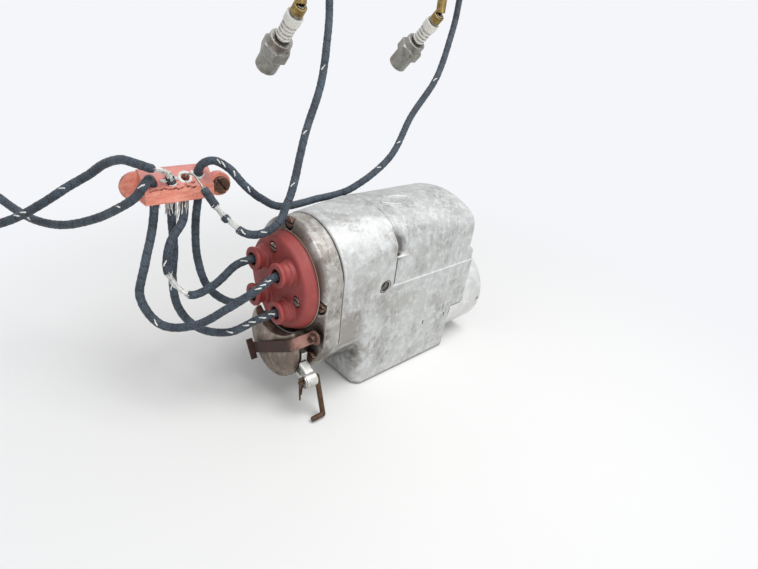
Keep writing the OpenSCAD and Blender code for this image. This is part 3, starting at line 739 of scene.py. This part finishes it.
def swept(paths: Iterable[tuple[Sequence[Vector], Sequence[float]]], sides: int,
          closed: bool = False, caps: bool = False) -> Mesh:
    """Sweep a round tube along each path.

    Args:
        paths: For each tube its points, and its radius at each of them, in metres.
        sides: Faces around a tube.
        closed: Whether the tubes are rings.
        caps: Whether their ends are closed.

    Returns:
        One mesh with all the tubes.
    """
    curve = bpy.data.curves.new("sweep", "CURVE")
    curve.dimensions = "3D"
    curve.bevel_depth = 1.0
    curve.bevel_resolution = (sides - 4) // 2
    curve.use_fill_caps = caps
    for points, radii in paths:
        spline = curve.splines.new("POLY")
        spline.use_cyclic_u = closed
        spline.points.add(len(points) - 1)
        for knot, point, radius in zip(spline.points, points, radii):
            knot.co = (*point, 1.0)
            knot.radius = radius
    mesh = evaluated(bpy.data.objects.new("holder", curve))
    mesh.polygons.foreach_set("use_smooth", [True] * len(mesh.polygons))
    return mesh


def strands(paths: Sequence[Strand], sides: int = 6) -> Mesh:
    """Make many thin round strands, each thinner towards its end.

    Args:
        paths: For each strand its points and its radius, in metres.
        sides: Faces around a strand.

    Returns:
        One mesh with all the strands, their ends closed.
    """
    return swept([(points, [radius * (1 - 0.45 * (i / (len(points) - 1)) ** 2)
                            for i in range(len(points))]) for points, radius in paths],
                 sides, caps=True)


def turned_ring(axis: Pair, x: Pair, radius: Pair, steps: int = 96) -> Mesh:
    """Spin a flat ring about an axis along X.

    Args:
        axis: Y and Z of the axis in millimetres.
        x: Where the ring starts and ends along X.
        radius: Its inner and outer radius.
        steps: Faces around it.

    Returns:
        The new mesh.
    """
    shape = bmesh.new()
    y, z = axis
    corners = [shape.verts.new(Vector((at, y, z + r)) * MM) for at, r in
               ((x[0], radius[0]), (x[0], radius[1]), (x[1], radius[1]), (x[1], radius[0]))]
    ring = [shape.edges.new((corners[i], corners[(i + 1) % 4])) for i in range(4)]
    bmesh.ops.spin(shape, geom=ring, cent=Vector((0, y, z)) * MM, axis=(1, 0, 0),
                   angle=2 * math.pi, steps=steps, use_merge=True)
    bmesh.ops.remove_doubles(shape, verts=shape.verts, dist=MERGE)
    bmesh.ops.recalc_face_normals(shape, faces=shape.faces)
    return written(shape, smooth=False)


def smooth_route(points: Sequence[Triple], step: float, count: int = 40) -> list[Vector]:
    """Run a smooth curve through points and space it evenly.

    Args:
        points: Points in millimetres.
        step: Spacing of the result in millimetres.
        count: Fine steps between two points while it is spaced.

    Returns:
        Points along the curve in metres.
    """
    given = [Vector(p) for p in points]
    given = [2 * given[0] - given[1], *given, 2 * given[-1] - given[-2]]
    fine: list[Vector] = []
    for i in range(1, len(given) - 2):
        a, b, c, d = given[i - 1:i + 3]
        for t in (j / count for j in range(count)):
            fine.append(0.5 * (2 * b + (c - a) * t + (2 * a - 5 * b + 4 * c - d) * t * t
                               + (3 * b - a - 3 * c + d) * t ** 3))
    fine.append(given[-2])
    total = sum((q - p).length for p, q in zip(fine, fine[1:]))
    pieces = round(total / step)
    gap, walked, out = total / pieces, 0.0, [fine[0] * MM]
    for p, q in zip(fine, fine[1:]):
        reach = (q - p).length
        while walked + reach >= gap * len(out) and len(out) < pieces:
            out.append(p.lerp(q, (gap * len(out) - walked) / reach) * MM)
        walked += reach
    out.append(fine[-1] * MM)
    return out


@dataclass(frozen=True)
class Softened:
    """A piece that copies CAD nodes into one skin, its edges rounded as cast or worn ones are."""

    name: str
    nodes: tuple[str, ...]
    slot: Slot
    finish: Finish
    voxel: float
    rounds: int = 2
    wave: float = 0.0
    body: Body = Body.MAGNETO
    wave_mm: float = 14.0

    def skin(self) -> Mesh:
        """Join the nodes in voxels, smooth them and raise a slight unevenness.

        Returns:
            The new mesh.
        """
        shape = bmesh.new()
        for node in self.nodes:
            shape.from_mesh(bpy.data.objects[node].data)
        bmesh.ops.remove_doubles(shape, verts=shape.verts, dist=MERGE)
        holder = bpy.data.objects.new("holder", written(shape))
        remesh = holder.modifiers.new("Skin", "REMESH")
        remesh.mode = "VOXEL"
        remesh.voxel_size = self.voxel * MM
        mesh = evaluated(holder)
        shape = bmesh.new()
        shape.from_mesh(mesh)
        for _ in range(self.rounds):
            bmesh.ops.smooth_vert(shape, verts=shape.verts, factor=0.5, use_axis_x=True,
                                  use_axis_y=True, use_axis_z=True)
        shape.normal_update()
        if self.wave:
            long, short = self.wave_mm * MM, self.wave_mm * MM / 3.3
            for vert in shape.verts:
                swell = noise.noise(vert.co / long) + 0.4 * noise.noise(vert.co / short)
                vert.co += vert.normal * (swell * self.wave * MM)
        return written(shape, mesh)

    def build(self) -> Object:
        """Make the piece, and return its object."""
        return install(self.name, self.skin(), self.body, (self.finish,), self.nodes)


@dataclass(frozen=True)
class Stretch:
    """A worn stretch of a lead, in millimetres along it."""

    start: float
    end: float
    radius: float
    shows: Shows


@dataclass
class Lead:
    """One high-tension lead: its route, its worn stretches and its pale tracer stitches."""

    number: int
    route: Sequence[Triple]
    far_end: str
    worn: Sequence[Stretch] = ()
    stitches: Sequence[float] = ()
    radius: float = 2.8
    step: float = 0.7
    sides: int = 20
    lump: float = 0.05
    lump_mm: float = 4.0
    wrap_rise: float = 0.02
    wander_mm: float = 20.0
    fade_mm: float = 2.0
    exit_mm: float = 7.0
    outer: Triple = (-0.62, -0.62, 0.48)
    stitch_mm: float = 3.8
    stitch_radius: float = 0.55
    path: list[Vector] = field(default_factory=list)

    def __post_init__(self) -> None:
        """Work out the path at once, because other pieces are set along it."""
        self.path = smooth_route(self.route, self.step)

    @property
    def length(self) -> float:
        """Length of the lead in millimetres."""
        return sum((q - p).length for p, q in zip(self.path, self.path[1:])) / MM

    @property
    def gap(self) -> float:
        """Spacing of the path's points in millimetres."""
        return self.length / (len(self.path) - 1)

    def at(self, along: float) -> tuple[Vector, Vector]:
        """Find a place on the lead.

        Args:
            along: Millimetres from the tower.

        Returns:
            The point on its middle line, and its direction there.
        """
        i = min(max(round(along / self.length * (len(self.path) - 1)), 1), len(self.path) - 2)
        return self.path[i], (self.path[i + 1] - self.path[i - 1]).normalized()

    def crossing(self, normal: Vector, level: float, after: float = 0.0) -> float:
        """Find where the lead first crosses a plane.

        Args:
            normal: The plane's normal.
            level: The plane's distance from the origin in millimetres.
            after: Millimetres from the tower to where the search starts.

        Returns:
            Millimetres from the tower to the crossing.
        """
        gap = self.gap
        for i in range(round(after / gap), len(self.path) - 1):
            before, beyond = (p.dot(normal) / MM - level for p in self.path[i:i + 2])
            if before * beyond <= 0:
                return (i + 0.5) * gap
        raise ValueError(f"lead {self.number} doesn't cross the plane")

    def radius_at(self, along: float) -> float:
        """Narrow the lead smoothly into each worn stretch.

        Args:
            along: Millimetres from the tower.

        Returns:
            The radius there in millimetres.
        """
        radius = self.radius
        for stretch in self.worn:
            inside = min(along - stretch.start, stretch.end - along)
            share = min(max(inside / self.fade_mm + 0.5, 0.0), 1.0)
            radius += (stretch.radius - radius) * share * share * (3 - 2 * share)
        return radius

    def skin(self) -> Mesh:
        """Sweep the tube, and give it its UV map: turns round, millimetres along.

        Returns:
            The new mesh.
        """
        gap = self.gap
        radii = [self.radius_at(i * gap) * MM for i in range(len(self.path))]
        mesh = swept([(self.path, radii)], self.sides)
        shape = bmesh.new()
        shape.from_mesh(mesh)
        around = len(shape.verts) // len(self.path)
        shape.verts.ensure_lookup_table()
        for i, point in enumerate(self.path):
            phase = 2 * math.pi * i * gap / CLOTH.wrap_mm + 2.4 * noise.noise(
                point / (self.wander_mm * MM))
            for vert in shape.verts[i * around:(i + 1) * around]:
                lump = (noise.noise(vert.co / (self.lump_mm * MM)) * self.lump
                        + self.wrap_rise * math.sin(phase))
                vert.co = point + (vert.co - point) * (1 + lump)
        layer = shape.loops.layers.uv.verify()
        kinds = [next((s.shows for s in self.worn if s.start <= i * gap <= s.end),
                      Shows.CLOTH).value for i in range(len(self.path))]
        for face in shape.faces:
            places = [divmod(loop.vert.index, around) for loop in face.loops]
            seam = {k for _, k in places} == {0, around - 1}
            for loop, (i, k) in zip(face.loops, places):
                loop[layer].uv = (1.0 if seam and k == 0 else k / around, i * gap)
            face.material_index = kinds[places[0][0]]
        rims = [edge for edge in shape.edges if edge.is_boundary]
        bmesh.ops.holes_fill(shape, edges=rims, sides=0)
        bmesh.ops.recalc_face_normals(shape, faces=shape.faces)
        return written(shape, mesh)

    def stitch(self, along: float, seed: random.Random) -> Strand:
        """Lay one pale tracer thread across the outer side of the braid.

        Args:
            along: Millimetres from the tower to its middle.
            seed: Source of its small variations.

        Returns:
            The thread's points and its radius, in metres.
        """
        points = []
        for share in (j / 6 - 0.5 for j in range(7)):
            middle, way = self.at(along + share * self.stitch_mm)
            side = Vector(self.outer) - way * way.dot(Vector(self.outer))
            side.normalize()
            turned = Matrix.Rotation(share * 0.75 + seed.uniform(-0.05, 0.05), 3, way) @ side
            rise = self.radius_at(along) + 0.2 - 2.2 * share * share
            points.append(middle + turned * rise * MM)
        return points, self.stitch_radius * MM

    def build(self, with_pieces: Sequence[Object] = ()) -> Object:
        """Args:
            with_pieces: Pieces on its far end; not used.

        Returns:
            The lead's object.
        """
        piece = install(f"braided_lead_{self.number}", self.skin(), Body.MAGNETO,
                        (CLOTH, THREAD, WIRE), (f"lead_{self.number}",))
        first = self.at(self.exit_mm)[0]
        self.length * MM
        if self.stitches:
            seed = random.Random(self.number)
            install(f"tracer_threads_{self.number}",
                    strands([self.stitch(s, seed) for s in self.stitches], 8),
                    Body.MAGNETO, (THREAD,))
        return piece


@dataclass
class Harness:
    """The four leads, the clamp that gathers them and the terminals on their ends."""

    clamp_voxel: float = 0.5
    screw_voxel: float = 0.3
    terminal_voxel: float = 0.55
    face_y: float = 50.0
    bend_z: float = 153.5
    lower_z: float = 143.5
    slope: Pair = (8.4, 11.0)
    crack_x: Pair = (-172.0, -140.0)
    ridge: float = 1.1
    split: float = 0.7
    swell: float = 0.35
    swell_mm: float = 11.0
    fray_seed: int = 7
    rim_seed: int = 11
    rim_knots: int = 23
    slope_threads: int = 26
    slope_x: Pair = (-164, -158)
    leads: Sequence[Lead] = field(default_factory=lambda: (
        Lead(1, (
            (-112, 15, 108), (-121, 15, 108), (-132, 16, 105), (-147, 17, 94), (-163, 21, 89),
            (-171, 33, 102), (-166, 39, 120), (-153, 47, 131), (-147, 56, 143), (-147, 57, 152),
            (-146, 53, 160), (-144, 46, 162), (-142, 38, 156), (-138, 29, 146), (-133, 18, 136),
            (-125, 10, 130), (-115, 5, 131), (-105, 3, 138), (-98, 6, 147), (-90, 10, 159),
            (-71, 25, 190), (-50, 38, 221), (-35, 53, 253), (-29, 61, 271), (-30, 63, 287),
            (-33, 64, 294), (-40, 65, 298), (-48, 65, 294), (-51, 65, 287), (-51, 65, 278)),
            "object",
            (Stretch(58, 76, 1.2, Shows.THREADS), Stretch(140, 169.5, 0.75, Shows.WIRE),
             Stretch(184, 191.5, 1.1, Shows.THREADS), Stretch(196, 203.5, 1.25, Shows.THREADS)),
            (14, 84, 208, 222, 262, 301, 352)),
        Lead(2, (
            (-112, -15, 108), (-121, -15, 107), (-132, -12, 99), (-149, -5, 87), (-168, 2, 77),
            (-185, 15, 76), (-191, 31, 90), (-183, 40, 108), (-174, 47, 127), (-168, 54, 143),
            (-167, 56, 152), (-169, 53, 159), (-173, 47, 162), (-178, 43, 159), (-183, 45, 152),
            (-190, 55, 143), (-200, 71, 132), (-214, 88, 124), (-225, 106, 122),
            (-233, 126, 124), (-242, 146, 131), (-254, 164, 136)),
            "fitting", (), (13, 17, 21, 93, 208, 229, 305)),
        Lead(3, (
            (-112, -15, 79), (-121, -15, 79), (-132, -11, 75), (-147, -2, 66), (-161, 13, 66),
            (-167, 30, 75), (-165, 42, 91), (-160, 48, 110), (-158, 53, 130), (-156, 56, 146),
            (-156, 54, 156), (-160, 49, 164), (-167, 43, 169), (-174, 42, 171), (-180, 47, 173),
            (-185, 57, 173), (-191, 70, 167), (-198, 80, 158), (-209, 88, 149),
            (-222, 96, 138), (-236, 106, 127), (-251, 117, 119), (-264, 132, 114)),
            "fitting", (Stretch(177, 196, 1.3, Shows.THREADS),),
            (10, 16, 23, 28, 40, 98, 102, 268, 299, 304)),
        Lead(4, (
            (-112, 15, 79), (-121, 15, 79), (-134, 18, 76), (-144, 32, 84), (-145, 45, 102),
            (-142, 52, 124), (-137, 56, 144), (-137, 56, 157), (-135, 53, 166), (-129, 47, 170),
            (-122, 39, 166), (-115, 32, 156), (-104, 29, 146), (-86, 29, 137), (-53, 33, 136.5),
            (-20, 28, 143), (19, 28, 165), (50, 39, 195), (83, 46, 225), (108, 58, 259),
            (117, 63, 279), (118, 64, 295), (115, 64, 302), (108, 65, 305), (100, 65, 302),
            (97, 65, 295), (97, 65, 285)),
            "object", (), (14, 110, 146, 149, 158, 171, 300, 330, 402)),
    ))

    def terminals(self) -> dict[int, Object]:
        """Make the brass eyes of the two leads that leave the view.

        Returns:
            Each eye by its lead's number.
        """
        return {n: Softened(f"brass_eye_{n}", (f"lead_end_{n}",), Slot.BRASS, BRASS,
                            self.terminal_voxel).build() for n in (2, 3)}

    def clamp(self) -> None:
        """Make the enamelled clamp, split along a jagged ridge at its bend, and its screw."""
        body = Softened("enamelled_clamp", ("loom_clamp",), Slot.PAINT, PAINT, self.clamp_voxel)
        mesh = body.skin()
        splits = mesh.attributes.new(PAINT.crack, "FLOAT", "POINT")
        for vert, split in zip(mesh.vertices, splits.data):
            x, y, z = vert.co / MM
            # Five noises along X, each with its width in millimetres and its own row.
            jag, fine, low, high, deep = (
                noise.noise(Vector((x / width, row, 0)))
                for width, row in ((5, 3), (1.6, 9), (2.2, 5), (3, 7), (4, 17)))
            line = self.bend_z + 1.3 * jag + 0.7 * fine
            front = float(y < self.face_y + 4 and self.crack_x[0] < x < self.crack_x[1])
            rise = front * max(0.0, 1 - abs(z - line - 0.7) / 1.3)
            lower = max(0.0, 1 - abs(z - line + 0.5) / 0.9) * (0.8 + low)
            upper = max(0.0, 1 - abs(z - line - 2.3 - high) / 0.7) * (0.45 + 1.2 * deep)
            split.value = front * max(lower, upper, 0.0)
            swell = self.swell * noise.noise(Vector((x, y, z)) / self.swell_mm)
            vert.co.y -= (self.ridge * rise - self.split * split.value + swell) * MM
        install(body.name, mesh, body.body, (body.finish,), body.nodes)
        Softened("slotted_clamp_screw", ("clamp_screws",), Slot.RUST, SCREW,
                 self.screw_voxel).build()

    def frays(self) -> None:
        """Make the loose pale threads under the clamp and along the worn stretches."""
        seed = random.Random(self.fray_seed)
        threads: list[Strand] = []
        first, second, third, fourth = self.leads
        left, right, front = Vector((-1, 0, 0)), Vector((1, 0, 0)), Vector((-0.5, -1, 0))
        # Lead, side of it, number of threads, and the longest in millimetres.
        for lead, towards, count, reach in (
                (second, left, 7, 5.0), (second, right, 9, 6.0), (third, left, 22, 12.0),
                (third, right, 16, 17.0), (first, left, 12, 17.0), (first, front, 10, 18.0),
                (fourth, front, 10, 4.0)):
            start = lead.crossing(Vector((0, 0, 1)), self.lower_z) + 1.5
            for _ in range(count):
                threads.append(self.tuft(lead, start, -seed.uniform(0.35, 1.0) * reach, towards,
                                         seed))
        for lead, stretch in ((first, first.worn[0]), (third, third.worn[0]),
                              (first, first.worn[2]), (first, first.worn[3])):
            for _ in range(7):
                threads.append(self.loose(lead, stretch, seed))
        install("frayed_threads", strands(threads), Body.MAGNETO, (THREAD,))

    def tuft(self, lead: Lead, along: float, reach: float, towards: Vector,
             seed: random.Random) -> Strand:
        """Lay one loose thread against a lead, and turn it off the lead.

        Args:
            lead: Lead that it lies on.
            along: Millimetres from the tower to where it starts.
            reach: Its length in millimetres, negative towards the tower.
            towards: Side of the lead that it lies on.
            seed: Source of its variations.

        Returns:
            The thread's points and its radius, in metres.
        """
        angle, twist = seed.gauss(0, 0.55), seed.uniform(-0.6, 0.6)
        splay = seed.uniform(-0.2, 1.1)
        points = []
        for share in (j / 5 for j in range(6)):
            middle, way = lead.at(along + reach * share)
            side = (towards - way * way.dot(towards)).normalized()
            side = Matrix.Rotation(angle + twist * share, 3, way) @ side
            points.append(middle + side * (lead.radius + 0.25 + splay * share * share) * MM)
        return points, seed.uniform(0.22, 0.42) * MM

    def loose(self, lead: Lead, stretch: Stretch, seed: random.Random) -> Strand:
        """Lay one thread across a worn stretch.

        Args:
            lead: The lead.
            stretch: Its worn stretch.
            seed: Source of its variations.

        Returns:
            The thread's points and its radius, in metres.
        """
        angle = seed.uniform(0, 2 * math.pi)
        drift = seed.uniform(-1.2, 1.2)
        points = []
        for share in (j / 8 for j in range(9)):
            along = stretch.start - 1.5 + (stretch.end - stretch.start + 3) * share
            middle, way = lead.at(along)
            side = way.orthogonal().normalized()
            side = Matrix.Rotation(angle + drift * share, 3, way) @ side
            off = lead.radius_at(along) + 0.35 + 0.8 * math.sin(math.pi * share) * abs(drift)
            points.append(middle + side * off * MM)
        return points, seed.uniform(0.2, 0.34) * MM

    def rims(self) -> None:
        """Make the pale torn rims of cloth around the holes in the clamp's slope."""
        seed = random.Random(self.rim_seed)
        rise = Vector((0, self.slope[0], self.slope[1])).normalized()
        out = Vector((0, -self.slope[1], self.slope[0])).normalized()
        corner = Vector((0, self.face_y, self.bend_z))
        rings: list[Strand] = []
        # Lead, first angle and sweep of its rim, radius in millimetres, number of threads.
        for lead, start, sweep, wide, count in (
                (self.leads[0], 0.0, 6.3, 3.0, 10), (self.leads[3], 2.6, 3.4, 3.2, 8),
                (self.leads[2], 4.2, 1.6, 3.3, 4)):
            inside = lead.crossing(Vector((0, 0, 1)), self.lower_z) + 3
            middle = lead.at(lead.crossing(out, out.dot(corner), inside))[0]
            for turn in range(count):
                points = []
                for angle in (start + sweep * j / (self.rim_knots - 1)
                              for j in range(self.rim_knots)):
                    reach = wide + 0.14 * turn + seed.uniform(-0.15, 0.15)
                    flat = Vector((1, 0, 0)) * math.cos(angle) * 1.1 + rise * math.sin(angle)
                    points.append(middle + (flat * reach + out * seed.uniform(0.05, 0.45)) * MM)
                rings.append((points, seed.uniform(0.3, 0.45) * MM))
        for _ in range(self.slope_threads):
            left, height = seed.uniform(*self.slope_x), seed.uniform(-0.8, 1.2)
            reach = seed.uniform(5, 12)
            points = []
            for x in (left + reach * j / 7 for j in range(8)):
                rest = Vector((x, corner.y, corner.z)) + rise * (
                    5.8 + height + 0.8 * math.sin(x / 2.1))
                points.append((rest + out * seed.uniform(0.2, 0.8)) * MM)
            rings.append((points, seed.uniform(0.2, 0.4) * MM))
        install("torn_cloth_rims", strands(rings, 8), Body.MAGNETO, (THREAD,))

    def build(self) -> None:
        """Build the leads first, then what holds and ends them."""
        eyes = self.terminals()
        for lead in self.leads:
            lead.build([eyes[lead.number]] if lead.number in eyes else [])
        self.clamp()
        self.frays()
        self.rims()


@dataclass
class Castings:
    """The aluminium castings of the body."""

    body_voxel: float = 1.1
    end_voxel: float = 0.85
    skirt_voxel: float = 1.1
    seat_voxel: float = 0.35
    collar_voxel: float = 0.8
    screw_voxel: float = 0.38
    boss_middle: Pair = (-7.0, -9.0)
    boss_half: Pair = (14.4, 6.2)
    bead: float = 0.9
    bead_lift: float = 0.35
    bead_knots: int = 48
    crown_radius: float = 73.0
    crown_middle: float = 70.5

    def boss_rim(self) -> Mesh:
        """Bend a half-round bead to the outline of the blank boss, over the crown.

        Returns:
            The new mesh.
        """
        long, short = self.boss_half
        drop = (long * long - short * short) / (2 * short)
        points = []
        for i in range(2 * self.bead_knots):
            side = 1 if i < self.bead_knots else -1
            x = side * long * math.cos(math.pi * (i % self.bead_knots) / self.bead_knots)
            y = self.boss_middle[1] + side * (math.sqrt((drop + short) ** 2 - x * x) - drop)
            z = self.crown_middle + math.sqrt(self.crown_radius ** 2 - y * y) + self.bead_lift
            points.append(Vector((self.boss_middle[0] + x, y, z)) * MM)
        return swept([(points, [self.bead * MM] * len(points))], 10, closed=True)

    def build(self) -> None:
        """Build the body, end casting, skirt and their small fittings."""
        Softened("body_casting", ("main_housing", "gear_case", "magnet_cover"), Slot.CASTING,
                 CASTING, self.body_voxel, wave=0.1).build()
        install("boss_rim", self.boss_rim(), Body.MAGNETO, (CASTING,))
        for name, node, slot, finish, voxel, rounds, wave in (
                ("front_casting", "end_casting", Slot.CASTING_DULL, END_CASTING,
                 self.end_voxel, 3, 0.12),
                ("turned_skirt", "drive_skirt", Slot.CLEAN, SKIRT, self.skirt_voxel, 2, 0.04),
                ("oil_hole_seat", "oiler", Slot.CASTING_DULL, END_CASTING, self.seat_voxel, 2,
                 0.0),
                ("turned_collar", "breaker_collar", Slot.CASTING_DULL, BREAKER,
                 self.collar_voxel, 2, 0.0),
                ("corner_screws", "case_screws", Slot.RUST, SCREW, self.screw_voxel, 2, 0.0)):
            Softened(name, (node,), slot, finish, voxel, rounds, wave).build()


@dataclass
class Distributor:
    """The red distributor cap, its screws and its gasket."""

    cap_voxel: float = 0.6
    screw_voxel: float = 0.33
    axis: Pair = (0.0, 93.5)
    gasket_radius: Pair = (34.0, 37.3)
    gasket_x: Pair = (-98.4, -97.95)

    def build(self) -> None:
        """Build the cap, its gasket and its screws."""
        Softened("moulded_cap", ("distributor_cap",), Slot.RED, RED, self.cap_voxel, 3).build()
        install("cap_gasket", turned_ring(self.axis, self.gasket_x, self.gasket_radius),
                Body.MAGNETO, (GASKET,))
        Softened("slotted_cap_screws", ("cap_screws",), Slot.STEEL, CAP_SCREW,
                 self.screw_voxel).build()


@dataclass
class BreakerEnd:
    """The breaker cover, timing ring and arm, link rod, cotter and spring bail."""

    cover_voxel: float = 0.65
    ring_voxel: float = 0.6
    arm_voxel: float = 0.36
    screw_voxel: float = 0.25
    cotter_voxel: float = 0.2
    eye: Pair = (-40.18, 31.16)
    washer_x: Pair = (-110.4, -109.65)
    washer_radius: Pair = (2.1, 4.8)
    washer_sides: int = 48

    def build(self) -> None:
        """Build the pieces of the breaker end."""
        washer = turned_ring(self.eye, self.washer_x, self.washer_radius, self.washer_sides)
        install("eye_washer", washer, Body.LINK, (CAP_SCREW,))
        for name, node, slot, finish, voxel, rounds, body in (
                ("domed_breaker_cover", "breaker_cover", Slot.STAINED, BREAKER,
                 self.cover_voxel, 3, Body.MAGNETO),
                ("turned_timing_ring", "timing_ring", Slot.CLEAN, ARM, self.ring_voxel, 2,
                 Body.TIMING),
                ("ribbed_timing_arm", "timing_arm", Slot.CLEAN, ARM, self.arm_voxel, 2,
                 Body.TIMING),
                ("bent_link_rod", "link_rod", Slot.RUST, ROD, self.arm_voxel, 2, Body.LINK),
                ("split_cotter", "cotter_pin", Slot.STEEL, ROD, self.cotter_voxel, 1, Body.LINK),
                ("spring_bail", "cover_bail", Slot.RUST, STRIP, self.arm_voxel, 1, Body.BAIL),
                ("bail_pivot_screw", "bail_screw", Slot.RUST, SCREW, self.screw_voxel, 2,
                 Body.MAGNETO)):
            Softened(name, (node,), slot, finish, voxel, rounds, body=body).build()


@dataclass
class DriveEnd:
    """The shaft, coupling cup and nut at the drive end."""

    voxel: float = 0.8

    def build(self) -> None:
        """Build the turning pieces of the drive end."""
        for name, node in (("rotor_shaft", "drive_shaft"), ("lugged_cup", "coupling_cup"),
                           ("hexagon_nut", "coupling_nut")):
            Softened(name, (node,), Slot.STEEL, STEEL, self.voxel, body=Body.ROTOR).build()


@dataclass
class Plugs:
    """The two spark plugs with their clips."""

    insulator_voxel: float = 0.45
    shell_voxel: float = 0.65
    nut_voxel: float = 0.4
    clip_voxel: float = 0.42

    def build(self) -> None:
        """Build the plugs' insulators, shells, nuts and clips."""
        for name, node, slot, finish, voxel in (
                ("ribbed_insulators", "plug_insulators", Slot.PORCELAIN, PORCELAIN,
                 self.insulator_voxel),
                ("hexagon_shells", "plug_shells", Slot.STEEL, SHELL, self.shell_voxel),
                ("terminal_nuts", "plug_nuts", Slot.STEEL, CAP_SCREW, self.nut_voxel),
                ("plug_lead_clips", "plug_clips", Slot.BRASS, BRASS, self.clip_voxel)):
            Softened(name, (node,), slot, finish, voxel).build()


@dataclass
class Studio:
    """The camera at the photograph's viewpoint, soft lamps and a pale floor."""

    place: Triple = (-0.2875, -0.2714, 0.2698)
    right: Triple = (0.7288, -0.6747, 0.1161)
    up: Triple = (0.2440, 0.4145, 0.8767)
    lens_mm: float = 24.22
    sensor_mm: float = 36.0
    near: float = 0.01
    aim: Triple = (-0.03, 0.0, 0.1)
    lamps: Sequence[tuple[str, Triple, float, float]] = (
        ("key", (0.15, -0.45, 1.35), 0.8, 13.0), ("side", (-0.2, -1.3, 0.5), 0.9, 4.0))
    surround: Colour = (0.96, 0.97, 1.0, 1.0)
    surround_seen: float = 0.95
    surround_fill: float = 0.5
    paper: str = "#ececea"
    paper_rough: float = 0.9
    paper_gloss: float = 0.2
    floor_z: float = -0.0006
    floor_radius: float = 9.0
    floor_sides: int = 96
    floor_fade: Pair = (0.14, 0.5)

    def camera(self) -> None:
        """Set the camera to the photograph's view."""
        data = bpy.data.cameras.new("camera")
        data.lens = self.lens_mm
        data.sensor_width = self.sensor_mm
        data.clip_start = self.near
        camera = bpy.data.objects.new("camera", data)
        right, up = Vector(self.right), Vector(self.up)
        turn = Matrix((right, up, right.cross(up))).transposed().to_4x4()
        camera.matrix_world = Matrix.Translation(self.place) @ turn
        bpy.context.scene.collection.objects.link(camera)
        bpy.context.scene.camera = camera

    def lamp(self, name: str, place: Triple, size: float, power: float) -> None:
        """Add one square soft lamp that faces the magneto.

        Args:
            name: The lamp's name.
            place: Its middle in metres.
            size: Its side in metres.
            power: Its power in watts.
        """
        data = bpy.data.lights.new(name, "AREA")
        data.shape = "SQUARE"
        data.size = size
        data.energy = power
        lamp = bpy.data.objects.new(name, data)
        turn = (Vector(place) - Vector(self.aim)).to_track_quat("Z", "Y").to_matrix().to_4x4()
        lamp.matrix_world = Matrix.Translation(place) @ turn
        bpy.context.scene.collection.objects.link(lamp)

    def seen(self, tree: Tree) -> Node:
        """Build the mask of rays that look at the surround, straight, off gloss or through glass.

        Args:
            tree: Node tree that gets it.

        Returns:
            The mask's last node.
        """
        ray = add(tree, "LightPath")
        mask = add(tree, "Math", {0: ray.outputs["Is Camera Ray"],
                                  1: ray.outputs["Is Glossy Ray"]}, operation="MAXIMUM")
        return add(tree, "Math", {0: mask, 1: ray.outputs["Is Transmission Ray"]},
                   operation="MAXIMUM")

    def world(self) -> None:
        """Give a white surround to the eye and to reflections, and a mild fill to the rest."""
        world = bpy.data.worlds.new("surround")
        world.use_nodes = True
        tree = world.node_tree
        tree.nodes.clear()
        strength = add(tree, "MapRange", {VALUE: self.seen(tree), BOTTOM: self.surround_fill,
                                          TOP: self.surround_seen})
        sky = add(tree, "Background", {"Color": self.surround, "Strength": strength})
        add(tree, "OutputWorld", {"Surface": sky})
        bpy.context.scene.world = world

    def floor(self) -> None:
        """Lay a wide pale floor under the magneto."""
        shape = bmesh.new()
        bmesh.ops.create_circle(shape, cap_ends=True, segments=self.floor_sides,
                                radius=self.floor_radius,
                                matrix=Matrix.Translation((0, 0, self.floor_z)))
        mesh = written(shape, smooth=False)
        floor = bpy.data.objects.new("floor", mesh)
        bpy.context.scene.collection.objects.link(floor)
        paper = bpy.data.materials.new("matt_paper")
        paper.use_nodes = True
        tree = paper.node_tree
        tree.nodes.clear()
        shader = add(tree, "BsdfPrincipled", {
            "Base Color": self.paper, "Roughness": self.paper_rough,
            "Specular IOR Level": self.paper_gloss})
        place = add(tree, "TexCoord").outputs["Object"]
        away = add(tree, "VectorMath", {0: place}, operation="LENGTH")
        far = add(tree, "MapRange", {VALUE: away, LOW: self.floor_fade[0],
                                     HIGH: self.floor_fade[1]}, **SMOOTH)
        mask = add(tree, "Math", {0: self.seen(tree), 1: far}, operation="MULTIPLY")
        white = add(tree, "Emission", {"Color": self.surround, "Strength": self.surround_seen})
        both = add(tree, "MixShader", {0: mask, 1: shader, 2: white})
        add(tree, "OutputMaterial", {"Surface": both})
        mesh.materials.append(paper)

    def build(self) -> None:
        """Set up the camera, the lamps, the surround and the floor."""
        self.camera()
        self.world()
        for lamp in self.lamps:
            self.lamp(*lamp)
        self.floor()
        bpy.context.scene.view_settings.view_transform = "Standard"


def main() -> None:
    """Build the studio and every sub-assembly, in order."""
    logging.basicConfig(level=logging.INFO, format="%(name)s %(message)s")
    for assembly in (Studio(), Harness(), Castings(), Distributor(), BreakerEnd(), DriveEnd(),
                     Plugs()):
        assembly.build()


if __name__ == "__main__":
    main()
